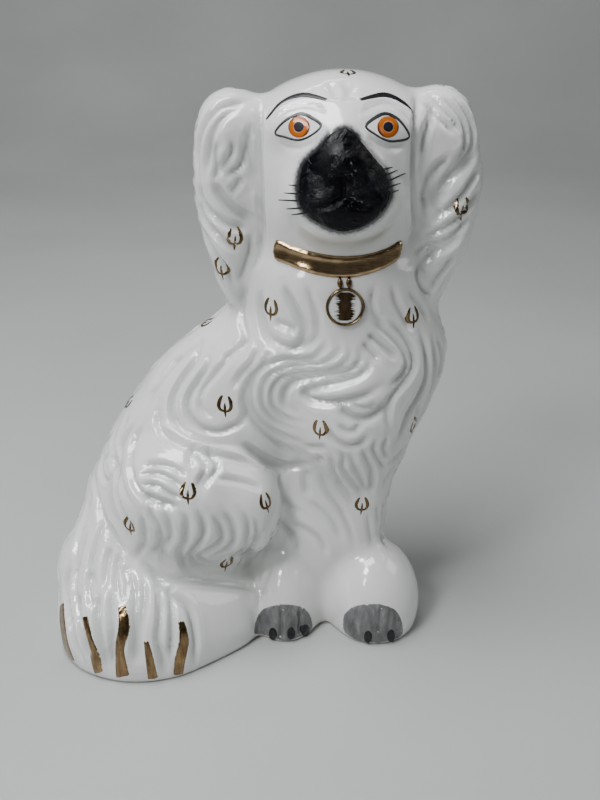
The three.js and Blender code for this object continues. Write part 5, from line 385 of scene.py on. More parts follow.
def skin(fn, cell, lo, hi):
    """A closed quad skin of a field, one point to each crossed cell, drawn onto the surface."""
    B = 4
    n = (np.ceil((np.array(hi) - lo) / (cell * B)).astype(int)) * B
    lo = np.array(lo, np.float32)
    ax = [np.arange(0, m + 1, B) for m in n]
    C = np.stack(np.meshgrid(*ax, indexing="ij"), -1).reshape(-1, 3)
    dc = chunks(fn, lo + C * cell).reshape([len(a) for a in ax])
    near = np.abs(dc) < cell * B * 2.0
    blk = np.zeros([m // B for m in n], bool)
    for a in (0, 1):
        for b in (0, 1):
            for c in (0, 1):
                blk |= near[a:a + blk.shape[0], b:b + blk.shape[1], c:c + blk.shape[2]]
    sign = np.where(dc[:-1, :-1, :-1] < 0, -9.0, 9.0).astype(np.float32)
    D = np.full([m + 1 for m in n], 9.0, np.float32)
    D[:-1, :-1, :-1] = sign.repeat(B, 0).repeat(B, 1).repeat(B, 2)
    act = np.zeros(D.shape, bool)
    act[:-1, :-1, :-1] = blk.repeat(B, 0).repeat(B, 1).repeat(B, 2)
    idx = np.argwhere(act)
    D[act] = chunks(fn, lo + idx * cell)
    ins = D < 0
    cnt = np.zeros([m for m in n], np.int8)
    corner = [(a, b, c) for a in (0, 1) for b in (0, 1) for c in (0, 1)]
    sl = lambda c: tuple(slice(o, o + m) for o, m in zip(c, n))
    for c in corner:
        cnt += ins[sl(c)]
    cells = np.argwhere((cnt > 0) & (cnt < 8))
    pos = np.zeros((len(cells), 3), np.float32)
    num = np.zeros(len(cells), np.float32)
    at = lambda c: D[tuple((cells + c).T)]
    for a in corner:
        for k in range(3):
            if a[k]:
                continue
            b = list(a)
            b[k] = 1
            va, vb = at(np.array(a)), at(np.array(b))
            m = (va < 0) != (vb < 0)
            t = np.where(m, va / np.where(m, va - vb, 1), 0)
            q = np.array(a, np.float32)[None] + t[:, None] * (np.array(b, np.float32) - np.array(a, np.float32))
            pos += q * m[:, None]
            num += m
    P = lo + (cells + pos / num[:, None]) * cell
    ID = np.full([m for m in n], -1, np.int64)
    ID[tuple(cells.T)] = np.arange(len(cells))
    quads = []
    for k in range(3):
        u, v = (k + 1) % 3, (k + 2) % 3
        s0 = [slice(1, m) for m in n]
        s1 = list(s0)
        s1[k] = slice(2, n[k] + 1)
        a, b = ins[tuple(s0)], ins[tuple(s1)]
        e = np.argwhere(a != b) + 1
        flip = a[tuple((e - 1).T)]
        q = []
        for du, dv in ((1, 1), (0, 1), (0, 0), (1, 0)):
            c = e.copy()
            c[:, u] -= du
            c[:, v] -= dv
            q.append(ID[tuple(c.T)])
        q = np.stack(q, 1)
        q[~flip] = q[~flip][:, ::-1]
        quads.append(q)
    quads = np.concatenate(quads)
    for _ in range(3):
        d = np.clip(chunks(fn, P), -0.4 * cell, 0.4 * cell)
        P = (P - gradient(fn, P) * d[:, None]).astype(np.float32)
    return P, quads


def row(p):
    p = np.asarray(p, float)
    c, s = math.cos(TURN), math.sin(TURN)
    return np.stack([c * p[..., 0] - s * p[..., 1], s * p[..., 0] + c * p[..., 1], p[..., 2]], -1) + SHIFT


def make_object(name, P, faces, mats, smooth=True, attrs=None):
    P = np.array(P, float)
    if P[:, 2].min() < -0.005:
        print("lifted", name, round(float(P[:, 2].min()), 3), "mm")
    P[:, 2] = np.maximum(P[:, 2], 0.0)
    me = bpy.data.meshes.new(name)
    me.from_pydata((row(P) * MM).tolist(), [], [list(map(int, f)) for f in faces])
    me.update()
    if smooth:
        me.polygons.foreach_set("use_smooth", [True] * len(me.polygons))
    for k, v in (attrs or {}).items():
        a = me.attributes.new(k, "FLOAT", "POINT")
        a.data.foreach_set("value", np.asarray(v, np.float32))
    for m in mats if isinstance(mats, (list, tuple)) else [mats]:
        me.materials.append(m)
    o = bpy.data.objects.new(name, me)
    bpy.context.scene.collection.objects.link(o)
    return o


def curve_points(q, step):
    """Centripetal-free Catmull-Rom through the points, at about this step."""
    q = np.asarray(q, float)
    g = lambda i: q[min(max(i, 0), len(q) - 1)]
    out = []
    for i in range(len(q) - 1):
        p0, p1, p2, p3 = g(i - 1), g(i), g(i + 1), g(i + 2)
        m = max(2, int(np.linalg.norm(p2 - p1) / step))
        t = (np.arange(m) / m)[:, None]
        out.append(0.5 * (2 * p1 + (p2 - p0) * t + (2 * p0 - 5 * p1 + 4 * p2 - p3) * t * t + (3 * p1 - p0 - 3 * p2 + p3) * t ** 3))
    return np.concatenate(out + [q[-1:]])


# ---------------------------------------------------------------- camera, floor and light
scene = bpy.context.scene
cam_data = bpy.data.cameras.new("camera")
cam_data.lens, cam_data.sensor_width = 36, 36
cam_data.clip_start, cam_data.clip_end = 0.01, 20
cam = bpy.data.objects.new("camera", cam_data)
cam.location = Vector(row((0, -300, 243.3)) * MM)
cam.rotation_euler = (math.radians(65), 0, TURN)
scene.collection.objects.link(cam)
scene.camera = cam


def nodes_of(m):
    m.use_nodes = True
    t = m.node_tree
    t.nodes.clear()
    out = t.nodes.new("ShaderNodeOutputMaterial")
    b = t.nodes.new("ShaderNodeBsdfPrincipled")
    t.links.new(b.outputs[0], out.inputs[0])
    return t, b


class Tree:
    """Short hands for shader nodes."""

    def __init__(self, name):
        self.m = bpy.data.materials.new(name)
        self.t, self.b = nodes_of(self.m)
        self.co = self.t.nodes.new("ShaderNodeTexCoord").outputs["Object"]

    def link(self, a, b):
        self.t.links.new(a, b)
        return self

    def put(self, kind, **v):
        n = self.t.nodes.new(kind)
        for k, x in v.items():
            setattr(n, k, x)
        return n

    def noise(self, scale, detail=3, rough=0.5, co=None, distort=0.0, stretch=None):
        n = self.put("ShaderNodeTexNoise")
        n.inputs["Scale"].default_value = scale
        n.inputs["Detail"].default_value = detail
        n.inputs["Roughness"].default_value = rough
        n.inputs["Distortion"].default_value = distort
        src = co or self.co
        if stretch:
            m = self.put("ShaderNodeMapping")
            m.inputs["Scale"].default_value = stretch[:3]
            if len(stretch) > 3:
                m.inputs["Rotation"].default_value = stretch[3]
            self.link(src, m.inputs["Vector"])
            src = m.outputs[0]
        self.link(src, n.inputs["Vector"])
        return n.outputs["Fac"]

    def ramp(self, fac, stops, smooth=False):
        n = self.put("ShaderNodeValToRGB")
        if smooth:
            n.color_ramp.interpolation = "EASE"
        e = n.color_ramp.elements
        while len(e) < len(stops):
            e.new(0.5)
        for x, (p, c) in zip(e, stops):
            x.position = p
            x.color = (*c, 1) if isinstance(c, tuple) else (c, c, c, 1)
        self.link(fac, n.inputs[0])
        return n.outputs[0]

    def attr(self, name):
        n = self.put("ShaderNodeAttribute", attribute_name=name)
        return n.outputs["Fac"]

    def math(self, op, a, b=None, clamp=False):
        n = self.put("ShaderNodeMath", operation=op, use_clamp=clamp)
        for s, v in zip(n.inputs, (a, b)):
            if v is None:
                continue
            if isinstance(v, (int, float)):
                s.default_value = v
            else:
                self.link(v, s)
        return n.outputs[0]

    def mix(self, fac, a, b):
        n = self.put("ShaderNodeMix", data_type="RGBA")
        for s, v in ((n.inputs[0], fac), (n.inputs[6], a), (n.inputs[7], b)):
            if isinstance(v, (int, float)):
                s.default_value = v
            elif isinstance(v, tuple):
                s.default_value = (*v, 1)
            else:
                self.link(v, s)
        return n.outputs[2]

    def bump(self, h, dist, strength=1.0, after=None):
        n = self.put("ShaderNodeBump")
        n.inputs["Strength"].default_value = strength
        n.inputs["Distance"].default_value = dist
        self.link(h, n.inputs["Height"])
        if after is not None:
            self.link(after, n.inputs["Normal"])
        return n.outputs[0]

    def set(self, **v):
        for k, x in v.items():
            self.b.inputs[k.replace("_", " ")].default_value = x
        return self


def glaze_material():
    t = Tree("white_glaze")
    cloud = t.ramp(t.noise(26, 3, 0.55), [(0.3, (0.74, 0.755, 0.735)), (0.7, (0.80, 0.81, 0.79))])
    # painted shade with some pooled glaze: the white is mixed towards a mid grey in the fur grooves, as deep as the
    # groove (the cavity mask), for the shade that falls in the creases
    cav = t.ramp(t.attr("cavity"), [(0.0, 0.0), (1.0, 1.0)])
    pooled_glaze_and_groove_shade = t.mix(t.math("MULTIPLY", cav, 0.70), cloud, (0.47, 0.50, 0.49))
    speck = t.ramp(t.noise(900, 1, 0.5), [(0.735, 0.0), (0.76, 1.0)])
    spotted = t.mix(t.math("MULTIPLY", speck, 0.10), pooled_glaze_and_groove_shade, (0.33, 0.31, 0.27))
    edge = t.math("ADD", t.attr("halo"), t.math("MULTIPLY", t.math("SUBTRACT", t.noise(700, 3, 0.7), 0.5), 0.55))
    halo = t.ramp(edge, [(0.30, 0.0), (0.95, 1.0)], smooth=True)
    dark = t.mix(halo, spotted, (0.03, 0.032, 0.036))
    # painted shadow: the glaze is mixed towards grey in the bottom millimetres, where the figure meets the floor (the
    # shade attribute)
    floor_contact_shade = t.ramp(t.attr("shade"), [(0.0, 0.0), (1.0, 1.0)])
    line = t.mix(t.math("MULTIPLY", floor_contact_shade, 0.35), dark, (0.42, 0.42, 0.40))
    bare = t.ramp(t.noise(300, 4, 0.6), [(0.3, (0.62, 0.57, 0.48)), (0.7, (0.72, 0.68, 0.6))])
    base = t.mix(t.attr("under"), line, bare)
    t.link(base, t.b.inputs["Base Color"])
    r = t.ramp(t.noise(45, 2), [(0.3, 0.16), (0.7, 0.24)])
    rough = t.mix(t.attr("under"), r, (0.7, 0.7, 0.7))
    t.link(rough, t.b.inputs["Roughness"])
    strand = t.math("MULTIPLY", t.math("SINE", t.math("MULTIPLY", t.attr("strand"), 2.9)), t.attr("fur"))
    peel = t.math("MULTIPLY", t.noise(130, 2, 0.4), 1.0)
    n1 = t.bump(peel, 0.00022, 0.5)
    n2 = t.bump(strand, 0.00012, 0.55, after=n1)
    t.link(n2, t.b.inputs["Normal"])
    t.link(n2, t.b.inputs["Coat Normal"])
    t.set(IOR=1.5, Coat_Weight=1.0, Coat_Roughness=0.035, Coat_IOR=1.52)
    t.b.inputs["Subsurface Weight"].default_value = 0.0
    return t.m


def gold_material(name="gilding", dark=(0.085, 0.05, 0.022), light=(0.36, 0.235, 0.11), stretch=(1, 1, 0.15), rough=(0.10, 0.32)):
    t = Tree(name)
    streak = t.noise(900, 4, 0.6, stretch=stretch)
    worn = t.noise(160, 3, 0.6)
    both = t.math("ADD", t.math("MULTIPLY", streak, 0.6), t.math("MULTIPLY", worn, 0.4))
    col = t.ramp(both, [(0.34, dark), (0.5, tuple((a + b) / 2 for a, b in zip(dark, light))), (0.64, light)])
    rim = t.ramp(t.attr("rim"), [(0.0, 1.0), (0.5, 0.0)])
    col = t.mix(t.math("MULTIPLY", rim, 0.6), col, tuple(c * 0.55 for c in dark))
    t.link(col, t.b.inputs["Base Color"])
    t.link(t.ramp(worn, [(0.3, rough[0]), (0.7, rough[1])]), t.b.inputs["Roughness"])
    t.link(t.bump(streak, 0.00006, 0.5), t.b.inputs["Normal"])
    t.set(Metallic=1.0, Coat_Weight=0.25, Coat_Roughness=0.05)
    return t.m


def enamel_material(name, stops, scale=500, rough=0.12, coat=1.0, bump=0.00005, stretch=None, detail=4):
    t = Tree(name)
    n = t.noise(scale, detail, 0.62, stretch=stretch, distort=0.4)
    t.link(t.ramp(n, stops), t.b.inputs["Base Color"])
    t.link(t.ramp(t.noise(scale * 0.4, 2), [(0.3, rough), (0.7, rough * 2.2)]), t.b.inputs["Roughness"])
    t.link(t.bump(n, bump, 0.6), t.b.inputs["Normal"])
    t.set(Coat_Weight=coat, Coat_Roughness=0.04)
    return t.m


def muzzle_material():
    t = Tree("muzzle_enamel")
    blot = t.noise(170, 5, 0.65, distort=0.8)
    fine = t.noise(900, 3, 0.6)
    mott = t.math("ADD", t.math("MULTIPLY", blot, 0.75), t.math("MULTIPLY", fine, 0.25))
    body = t.ramp(mott, [(0.46, (0.002, 0.002, 0.003)), (0.60, (0.006, 0.007, 0.009)), (0.74, (0.04, 0.045, 0.056))])
    edge = t.math("ADD", t.attr("rim"), t.math("MULTIPLY", t.math("SUBTRACT", fine, 0.5), 0.8))
    soft = t.ramp(edge, [(0.0, 1.0), (0.5, 0.0)], smooth=True)
    t.link(t.mix(t.math("MULTIPLY", soft, 0.5), body, (0.022, 0.024, 0.028)), t.b.inputs["Base Color"])
    t.link(t.ramp(blot, [(0.35, 0.07), (0.7, 0.20)]), t.b.inputs["Roughness"])
    t.link(t.bump(blot, 0.0014, 0.9), t.b.inputs["Normal"])
    t.set(Coat_Weight=0.0)
    t.b.inputs["Specular IOR Level"].default_value = 0.16
    return t.m


def iris_material():
    t = Tree("amber_enamel")
    a = t.math("ADD", t.attr("radial"), t.math("MULTIPLY", t.math("SUBTRACT", t.noise(700, 3), 0.5), 0.12))
    col = t.ramp(a, [(0.0, (0.50, 0.20, 0.08)), (0.44, (0.72, 0.36, 0.19)), (0.53, (0.50, 0.128, 0.010)), (0.84, (0.45, 0.108, 0.008)), (0.97, (0.11, 0.022, 0.004))])
    t.link(col, t.b.inputs["Base Color"])
    t.link(t.ramp(t.noise(400, 2), [(0.3, 0.10), (0.7, 0.2)]), t.b.inputs["Roughness"])
    t.link(t.bump(t.noise(600, 3), 0.00004, 0.5), t.b.inputs["Normal"])
    t.set(Coat_Weight=0.08, Coat_Roughness=0.06)
    t.b.inputs["Specular IOR Level"].default_value = 0.3
    return t.m


GLAZE = glaze_material()
GOLD = gold_material()
COLLAR_GOLD = gold_material("collar_gilding", dark=(0.26, 0.17, 0.085), light=(0.64, 0.45, 0.25), stretch=(0.25, 0.25, 1.6), rough=(0.07, 0.22))
BLACK = enamel_material("black_enamel", [(0.35, (0.004, 0.004, 0.006)), (0.65, (0.018, 0.018, 0.022))], rough=0.22, coat=0.0)
BLACK.node_tree.nodes["Principled BSDF"].inputs["Specular IOR Level"].default_value = 0.3
CHARCOAL = enamel_material("charcoal_enamel", [(0.35, (0.008, 0.009, 0.011)), (0.65, (0.032, 0.034, 0.04))], scale=900, rough=0.28, coat=0.1)
PUPIL = enamel_material("pupil_enamel", [(0.35, (0.004, 0.005, 0.010)), (0.65, (0.014, 0.017, 0.036))], rough=0.30, coat=0.0)
PUPIL.node_tree.nodes["Principled BSDF"].inputs["Specular IOR Level"].default_value = 0.2
GREY = enamel_material("grey_enamel", [(0.30, (0.070, 0.071, 0.072)), (0.5, (0.135, 0.137, 0.139)), (0.72, (0.24, 0.243, 0.246))], scale=330, rough=0.22, coat=0.35, stretch=(1, 1, 0.25), bump=0.0001)
MUZZLE = muzzle_material()
AMBER = iris_material()

floor_t = Tree("floor")
floor_t.link(floor_t.ramp(floor_t.noise(3, 4), [(0.3, (0.40, 0.413, 0.413)), (0.7, (0.46, 0.47, 0.466))]), floor_t.b.inputs["Base Color"])
floor_t.set(Roughness=0.55)
rings = [(r, 0.0) for r in (0.15, 0.4, 0.8, 1.2)] + [(1.2 + 0.9 * math.sin(a), 0.9 - 0.9 * math.cos(a)) for a in np.linspace(0, math.pi / 2, 17)[1:]] + [(2.1, 2.2)]
around = 96
fv = [(0, 0, 0)] + [(r * math.cos(2 * math.pi * i / around), r * math.sin(2 * math.pi * i / around), z) for r, z in rings for i in range(around)]
ff = [(0, 1 + i, 1 + (i + 1) % around) for i in range(around)]
for k in range(len(rings) - 1):
    o = 1 + k * around
    ff += [(o + i, o + around + i, o + around + (i + 1) % around, o + (i + 1) % around) for i in range(around)]
fm = bpy.data.meshes.new("floor")
fm.from_pydata(fv, [], ff)
fm.polygons.foreach_set("use_smooth", [True] * len(fm.polygons))
fm.materials.append(floor_t.m)
floor = bpy.data.objects.new("floor", fm)
scene.collection.objects.link(floor)
floor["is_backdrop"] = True


def area(name, at, size, power, target=(0, 0, 0.11), color=(1, 1, 1)):
    l = bpy.data.lights.new(name, "AREA")
    l.shape, l.size, l.size_y, l.energy, l.color = "RECTANGLE", size[0], size[1], power, color
    o = bpy.data.objects.new(name, l)
    o.location = at
    o.rotation_euler = (Vector(target) - Vector(at)).to_track_quat("-Z", "Y").to_euler()
    scene.collection.objects.link(o)


area("sky", (-0.26, 0.0, 0.92), (0.46, 0.50), 8.2, color=(0.97, 0.99, 1.0))
area("key", (-0.50, -0.34, 0.78), (0.17, 0.22), 3.6)
area("fill", (0.80, -0.30, 0.70), (0.45, 0.45), 1.5)
area("window", (-0.66, -0.62, 0.58), (0.10, 0.26), 1.5)
for side, power in ((0, 2.5), (90, 11), (180, 2.5), (270, 1.5)):
    c, d = math.cos(math.radians(side)), math.sin(math.radians(side))
    area("surround_%d" % side, (0.75 * c, 0.75 * d, 1.5), (0.6, 0.5), power, target=(2.1 * c, 2.1 * d, 0.5))
world = bpy.data.worlds.new("world")
scene.world = world
world.use_nodes = True
wb = world.node_tree.nodes["Background"]
wb.inputs[0].default_value = (0.74, 0.77, 0.75, 1)
wb.inputs[1].default_value = 0.05

# ---------------------------------------------------------------- the body and its fur
P, Q = skin(casting, CELL, (-118, -62, -6), (84, 58, 240))
N = gradient(casting, P)
print("body points", len(P), "quads", len(Q))
base_bvh = BVHTree.FromPolygons(P.tolist(), Q.tolist())

VIEW = np.array([0.0, -300.0, 243.3])


def trace_rear():
    """Locks on the sides that face away: even-spaced lines that run down the coat in long S curves."""
    v = VIEW - P
    v /= np.linalg.norm(v, axis=1, keepdims=True)
    facing = (N * v).sum(1)
    low = np.where((P[:, 0] > -14), 44.0, 9.0)
    away = (facing < 0.10) & (P[:, 2] > low) & (P[:, 2] < 221)
    bare = (facing >= 0.10) & (P[:, 2] > 40) & (P[:, 2] < 140) & (P[:, 0] > -8)
    ok = (away | bare) & (N[:, 2] > -0.7)
    cand = np.nonzero(ok)[0]
    cand = RNG.permutation(cand)[:1600]
    lines, pts = [], np.zeros((0, 3))
    front = np.concatenate([np.asarray(l[0]) for l in LOCKS])
    for c in cand:
        p = P[c].astype(float)
        if len(pts) and np.min(((pts - p) ** 2).sum(1)) < 4.6 ** 2:
            continue
        if np.min(((front - p) ** 2).sum(1)) < 5.0 ** 2:
            continue
        line = [p]
        for sgn in (1, -1):
            q = p.copy()
            for s in range(9):
                loc, nor, _, _ = base_bvh.find_nearest(Vector(q))
                n = np.array(nor)
                if (n * (VIEW - q)).sum() / np.linalg.norm(VIEW - q) > 0.2 and not (37 < q[2] < 140 and q[0] > -10):
                    break
                if np.min(((front - q) ** 2).sum(1)) < 3.4 ** 2:
                    break
                down = np.array([-0.35 if q[2] < 120 else -0.1, 0.0, -1.0])
                down -= n * (down @ n)
                down /= max(np.linalg.norm(down), 1e-6)
                side = np.cross(n, down)
                a = 0.80 * math.sin(q[2] * 0.115 + q[0] * 0.06 + 1.9 * math.sin(q[0] * 0.075 + q[2] * 0.03)) + 0.45 * math.sin(q[0] * 0.12 - q[2] * 0.07 + q[1] * 0.1) + 0.18
                d = down * math.cos(a) + side * math.sin(a)
                q = q + d * sgn * 2.1
                loc, nor, _, _ = base_bvh.find_nearest(Vector(q))
                q = np.array(loc)
                if len(pts) and np.min(((pts - q) ** 2).sum(1)) < 2.7 ** 2:
                    break
                if q[2] < 6:
                    break
                line.append(q) if sgn > 0 else line.insert(0, q)
        if len(line) >= 5:
            lines.append(np.array(line))
            pts = np.concatenate([pts, np.array(line)])
    return lines


def groove_all():
    depth = np.zeros(len(P), np.float32)
    strand = np.full(len(P), 9.0, np.float32)
    fur = np.zeros(len(P), np.float32)
    rear = [(l, 1.3, 0.42 + 0.25 * float(RNG.random())) for l in trace_rear()]
    print("rear locks", len(rear))
    for pts, w, dep in list(LOCKS) + rear:
        q = curve_points(pts, 1.0)
        reach = 3.4 * w + 2.2
        box = np.all((P > q.min(0) - reach) & (P < q.max(0) + reach), axis=1)
        idx = np.nonzero(box)[0]
        if not len(idx):
            continue
        X = P[idx]
        best = np.full(len(idx), 1e9, np.float32)
        tt = np.zeros(len(idx), np.float32)
        seg = np.linalg.norm(np.diff(q, axis=0), axis=1)
        cum = np.concatenate([[0], np.cumsum(seg)])
        for i in range(len(q) - 1):
            a, b = q[i], q[i + 1]
            ab = b - a
            t = np.clip(((X - a) @ ab) / max(float(ab @ ab), 1e-6), 0, 1)
            d = np.linalg.norm(X - a - t[:, None] * ab, axis=1)
            m = d < best
            best[m] = d[m]
            tt[m] = (cum[i] + t[m] * seg[i]) / cum[-1]
        taper = np.clip(np.minimum(tt, 1 - tt) / 0.22, 0, 1)
        taper = 0.12 + 0.88 * taper * taper * (3 - 2 * taper)
        g = 0.78 * np.exp(-((best / w) ** 2)) + 0.22 * np.exp(-((best / (2.2 * w)) ** 2))
        depth[idx] += dep * taper * g
        if dep > 0.34:
            m = best < strand[idx]
            ii = idx[m]
            strand[ii] = best[m]
            fur[ii] = np.maximum(fur[ii], (np.exp(-((best[m] / 4.5) ** 2)) * taper[m] * min(dep, 1.0)))
    return depth, strand, fur


depth, strand, fur = groove_all()
depth *= 3.4
limit = 3.9
depth = limit * np.tanh(depth / limit)
lift = 0.8 * fur
P2 = (P + N * (lift - depth)[:, None]).astype(np.float32)
ground = np.clip((P[:, 2] - 0.6) / 3.0, 0, 1)[:, None]
P2 = (P + (P2 - P) * ground).astype(np.float32)
# groove depth as a 0..1 mask, which the glaze uses for painted shade in the grooves, with some pooled glaze
cavity = np.clip((depth - 0.4) / 2.8, 0, 1)


def frame_of(n, roll=0.0):
    n = np.asarray(n, float)
    n = n / np.linalg.norm(n)
    up = np.array([0, 1.0, 0]) if abs(n[2]) > 0.94 else np.array([0, 0, 1.0])
    t2 = up - n * (up @ n)
    t2 /= np.linalg.norm(t2)
    t1 = np.cross(t2, n)
    c, s = math.cos(math.radians(roll)), math.sin(math.radians(roll))
    return t1 * c + t2 * s, t2 * c - t1 * s, n


def edge_distance(pts, loop):
    a = np.asarray(loop, float)
    b = np.roll(a, -1, axis=0)
    best = np.full(len(pts), 1e9)
    for p, q in zip(a, b):
        pq = q - p
        t = np.clip(((pts - p) @ pq) / max(float(pq @ pq), 1e-9), 0, 1)
        best = np.minimum(best, np.linalg.norm(pts - p - t[:, None] * pq, axis=1))
    return best


def inside(pts, loop):
    a = np.asarray(loop, float)
    b = np.roll(a, -1, axis=0)
    c = np.zeros(len(pts), bool)
    for (x1, y1), (x2, y2) in zip(a, b):
        m = (y1 > pts[:, 1]) != (y2 > pts[:, 1])
        x = (x2 - x1) * (pts[:, 1] - y1) / (y2 - y1 if y2 != y1 else 1e-12) + x1
        c ^= m & (pts[:, 0] < x)
    return c


# soft sponged edge of the muzzle on the white glaze round it
m_at, m_n, m_loop = LAYERS["muzzle_enamel"]
t1, t2, nn = frame_of(m_n)
rel = P2 - np.array(m_at)
flat = np.stack([rel @ t1, rel @ t2], -1)
close = (np.abs(flat).max(1) < 26) & (N @ nn > 0.05) & (rel @ nn > -22)
halo = np.zeros(len(P2), np.float32)
dd = edge_distance(flat[close], m_loop)
ins = inside(flat[close], m_loop)
halo[close] = np.where(ins, 1.0, np.exp(-((dd / 2.2) ** 1.25)))
under = ((P2[:, 2] < 1.9) & (N[:, 2] < -0.35)).astype(np.float32)
# painted shadow: a mask that is 1 at the floor and fades out over the first few millimetres of height
shade = np.exp(-P2[:, 2] / 1.6).astype(np.float32)

body = make_object("glazed_body", P2, Q, GLAZE, attrs=dict(cavity=cavity, strand=strand, fur=fur, halo=halo, under=under, shade=shade))
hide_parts("ceramic_body")
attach(body, "root")

# ---------------------------------------------------------------- layers on the glaze
bvh = BVHTree.FromPolygons(P2.tolist(), Q.tolist())
vn = np.zeros((len(P2), 3))
fn = np.cross(P2[Q[:, 2]] - P2[Q[:, 0]], P2[Q[:, 3]] - P2[Q[:, 1]])
for k in range(4):
    np.add.at(vn, Q[:, k], fn)
vn /= np.maximum(np.linalg.norm(vn, axis=1, keepdims=True), 1e-9)


def drop(at, axes, pts, reach):
    """Points of the outline plane dropped onto the glaze: places and smooth normals."""
    a, b, n = axes
    at = np.array(at, float)
    out, nor = np.zeros((len(pts), 3)), np.zeros((len(pts), 3))
    for i, (x, y) in enumerate(pts):
        o = at + a * x + b * y
        loc, fnm, fi, _ = bvh.ray_cast(Vector(o + n * reach), Vector(-n), reach * 2.2)
        if loc is None:
            loc, fnm, fi, _ = bvh.find_nearest(Vector(o))
        loc = np.array(loc)
        vs = Q[fi]
        w = 1 / (np.linalg.norm(P2[vs] - loc, axis=1) + 0.05)
        m = (vn[vs] * w[:, None]).sum(0)
        out[i], nor[i] = loc, m / np.linalg.norm(m)
    return out, nor


def resample(loop, step):
    a = np.asarray(loop, float)
    a = np.concatenate([a, a[:1]])
    s = np.concatenate([[0], np.cumsum(np.linalg.norm(np.diff(a, axis=0), axis=1))])
    m = max(8, int(s[-1] / step))
    u = np.arange(m) / m * s[-1]
    return np.stack([np.interp(u, s, a[:, 0]), np.interp(u, s, a[:, 1])], -1)


def close(X, M, F, A, sink):
    """Gives a sheet a back a little under the glaze, and walls, so that it is one closed body."""
    n = len(X)
    seen = {}
    for f in F:
        for u, v in zip(f, tuple(f[1:]) + (f[0],)):
            seen[(u, v)] = True
    walls = [(v, u, u + n, v + n) for (u, v) in seen if (v, u) not in seen]
    back = [tuple(i + n for i in f[::-1]) for f in F]
    return np.concatenate([X, sink]), [tuple(f) for f in F] + back + walls, {k: np.concatenate([v, v]) for k, v in A.items()}


def rounded(loop, times=2):
    a = np.asarray(loop, float)
    for _ in range(times):
        b = np.roll(a, -1, axis=0)
        a = np.stack([0.75 * a + 0.25 * b, 0.25 * a + 0.75 * b], 1).reshape(-1, 2)
    return a


def patch(at, normal, loop, height, edge, step=0.6, roll=0.0, scale=1.0, base=0.0, reach=8, ragged=0.0, centre=None, radius=1.0):
    loop = resample(np.asarray(loop, float) * scale, step)
    if ragged:
        c = loop.mean(0)
        loop = loop + (loop - c) * (RNG.random(len(loop))[:, None] - 0.5) * ragged
    lo, hi = loop.min(0), loop.max(0)
    gx, gy = np.meshgrid(np.arange(lo[0], hi[0], step), np.arange(lo[1], hi[1], step * 0.87))
    gx = gx + (np.arange(gx.shape[0]) % 2)[:, None] * step * 0.5
    g = np.stack([gx.ravel(), gy.ravel()], -1)
    g = g[inside(g, loop)]
    if len(g):
        g = g[edge_distance(g, loop) > step * 0.45]
    pts = np.concatenate([loop, g])
    k = len(loop)
    res = delaunay_2d_cdt([Vector(p) for p in pts], [], [list(range(k))], 1, 1e-5)
    v2 = np.array([tuple(v) for v in res[0]])
    tris = [f for f in res[2]]
    d = edge_distance(v2, loop)
    t = np.clip(d / edge, 0, 1)
    h = base + height * np.sqrt(1 - (1 - t) ** 2)
    h = np.where(d < 1e-4, base - 0.03, h)
    X, M = drop(at, frame_of(normal, roll), v2, reach)
    c = np.array(centre if centre is not None else v2.mean(0))
    A = {"rim": np.clip(d / 1.2, 0, 1), "radial": np.linalg.norm(v2 - c, axis=1) / radius}
    return close(X + M * h[:, None], M, tris, A, X - M * 0.3)


def strip(at, normal, line, widths, height=0.14, roll=0.0, scale=1.0, closed=False, across=5, step=0.45, base=0.0, reach=8):
    q = np.asarray(line, float) * scale
    w = np.asarray(widths, float) * scale
    if closed:
        q = np.concatenate([q, q[:1]])
        w = np.concatenate([w, w[:1]])
        L = q
        W = w
        s = np.concatenate([[0], np.cumsum(np.linalg.norm(np.diff(L, axis=0), axis=1))])
        m = max(12, int(s[-1] / step))
        u = np.arange(m) / m * s[-1]
        W = np.interp(u, s, W)
        L = np.stack([np.interp(u, s, L[:, 0]), np.interp(u, s, L[:, 1])], -1)
        T = np.roll(L, -1, 0) - np.roll(L, 1, 0)
    else:
        L = curve_points(q, step)
        s0 = np.concatenate([[0], np.cumsum(np.linalg.norm(np.diff(q, axis=0), axis=1))])
        s1 = np.concatenate([[0], np.cumsum(np.linalg.norm(np.diff(L, axis=0), axis=1))])
        W = np.interp(s1 / s1[-1], s0 / s0[-1], w)
        T = np.gradient(L, axis=0)
    T /= np.maximum(np.linalg.norm(T, axis=1, keepdims=True), 1e-9)
    Nn = np.stack([-T[:, 1], T[:, 0]], -1)
    a = np.linspace(-1, 1, across)
    pts = (L[:, None] + Nn[:, None] * (W[:, None] * a[None])[..., None]).reshape(-1, 2)
    h = np.tile(base + height * np.sqrt(np.maximum(0, 1 - a ** 2)), len(L))
    h = np.where(np.tile(np.abs(a) > 0.99, len(L)), base - 0.02, h)
    if not closed:
        h[:across] = base - 0.02
        h[-across:] = base - 0.02
    X, M = drop(at, frame_of(normal, roll), pts, reach)
    n, faces = len(L), []
    for i in range(n if closed else n - 1):
        j = (i + 1) % n
        for k in range(across - 1):
            faces.append((i * across + k, i * across + k + 1, j * across + k + 1, j * across + k))
    faces = [f[::-1] for f in faces]
    rim = np.tile(1 - np.abs(a), n) * np.repeat(W, across) / 1.2
    A = {"rim": np.clip(rim, 0, 1), "radial": np.zeros(len(X))}
    return close(X + M * h[:, None], M, faces, A, X - M * 0.3)


def join(parts):
    X, F, A, o = [], [], {}, 0
    for x, f, a in parts:
        X.append(x)
        F += [tuple(i + o for i in g) for g in f]
        for k, v in a.items():
            A.setdefault(k, []).append(v)
        o += len(x)
    return np.concatenate(X), F, {k: np.concatenate(v) for k, v in A.items()}


def piece(name, made, mat, slot, *nodes):
    X, F, A = made
    o = make_object(name, X, F, mat, attrs=A)
    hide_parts(*nodes)
    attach(o, "root")
    return o


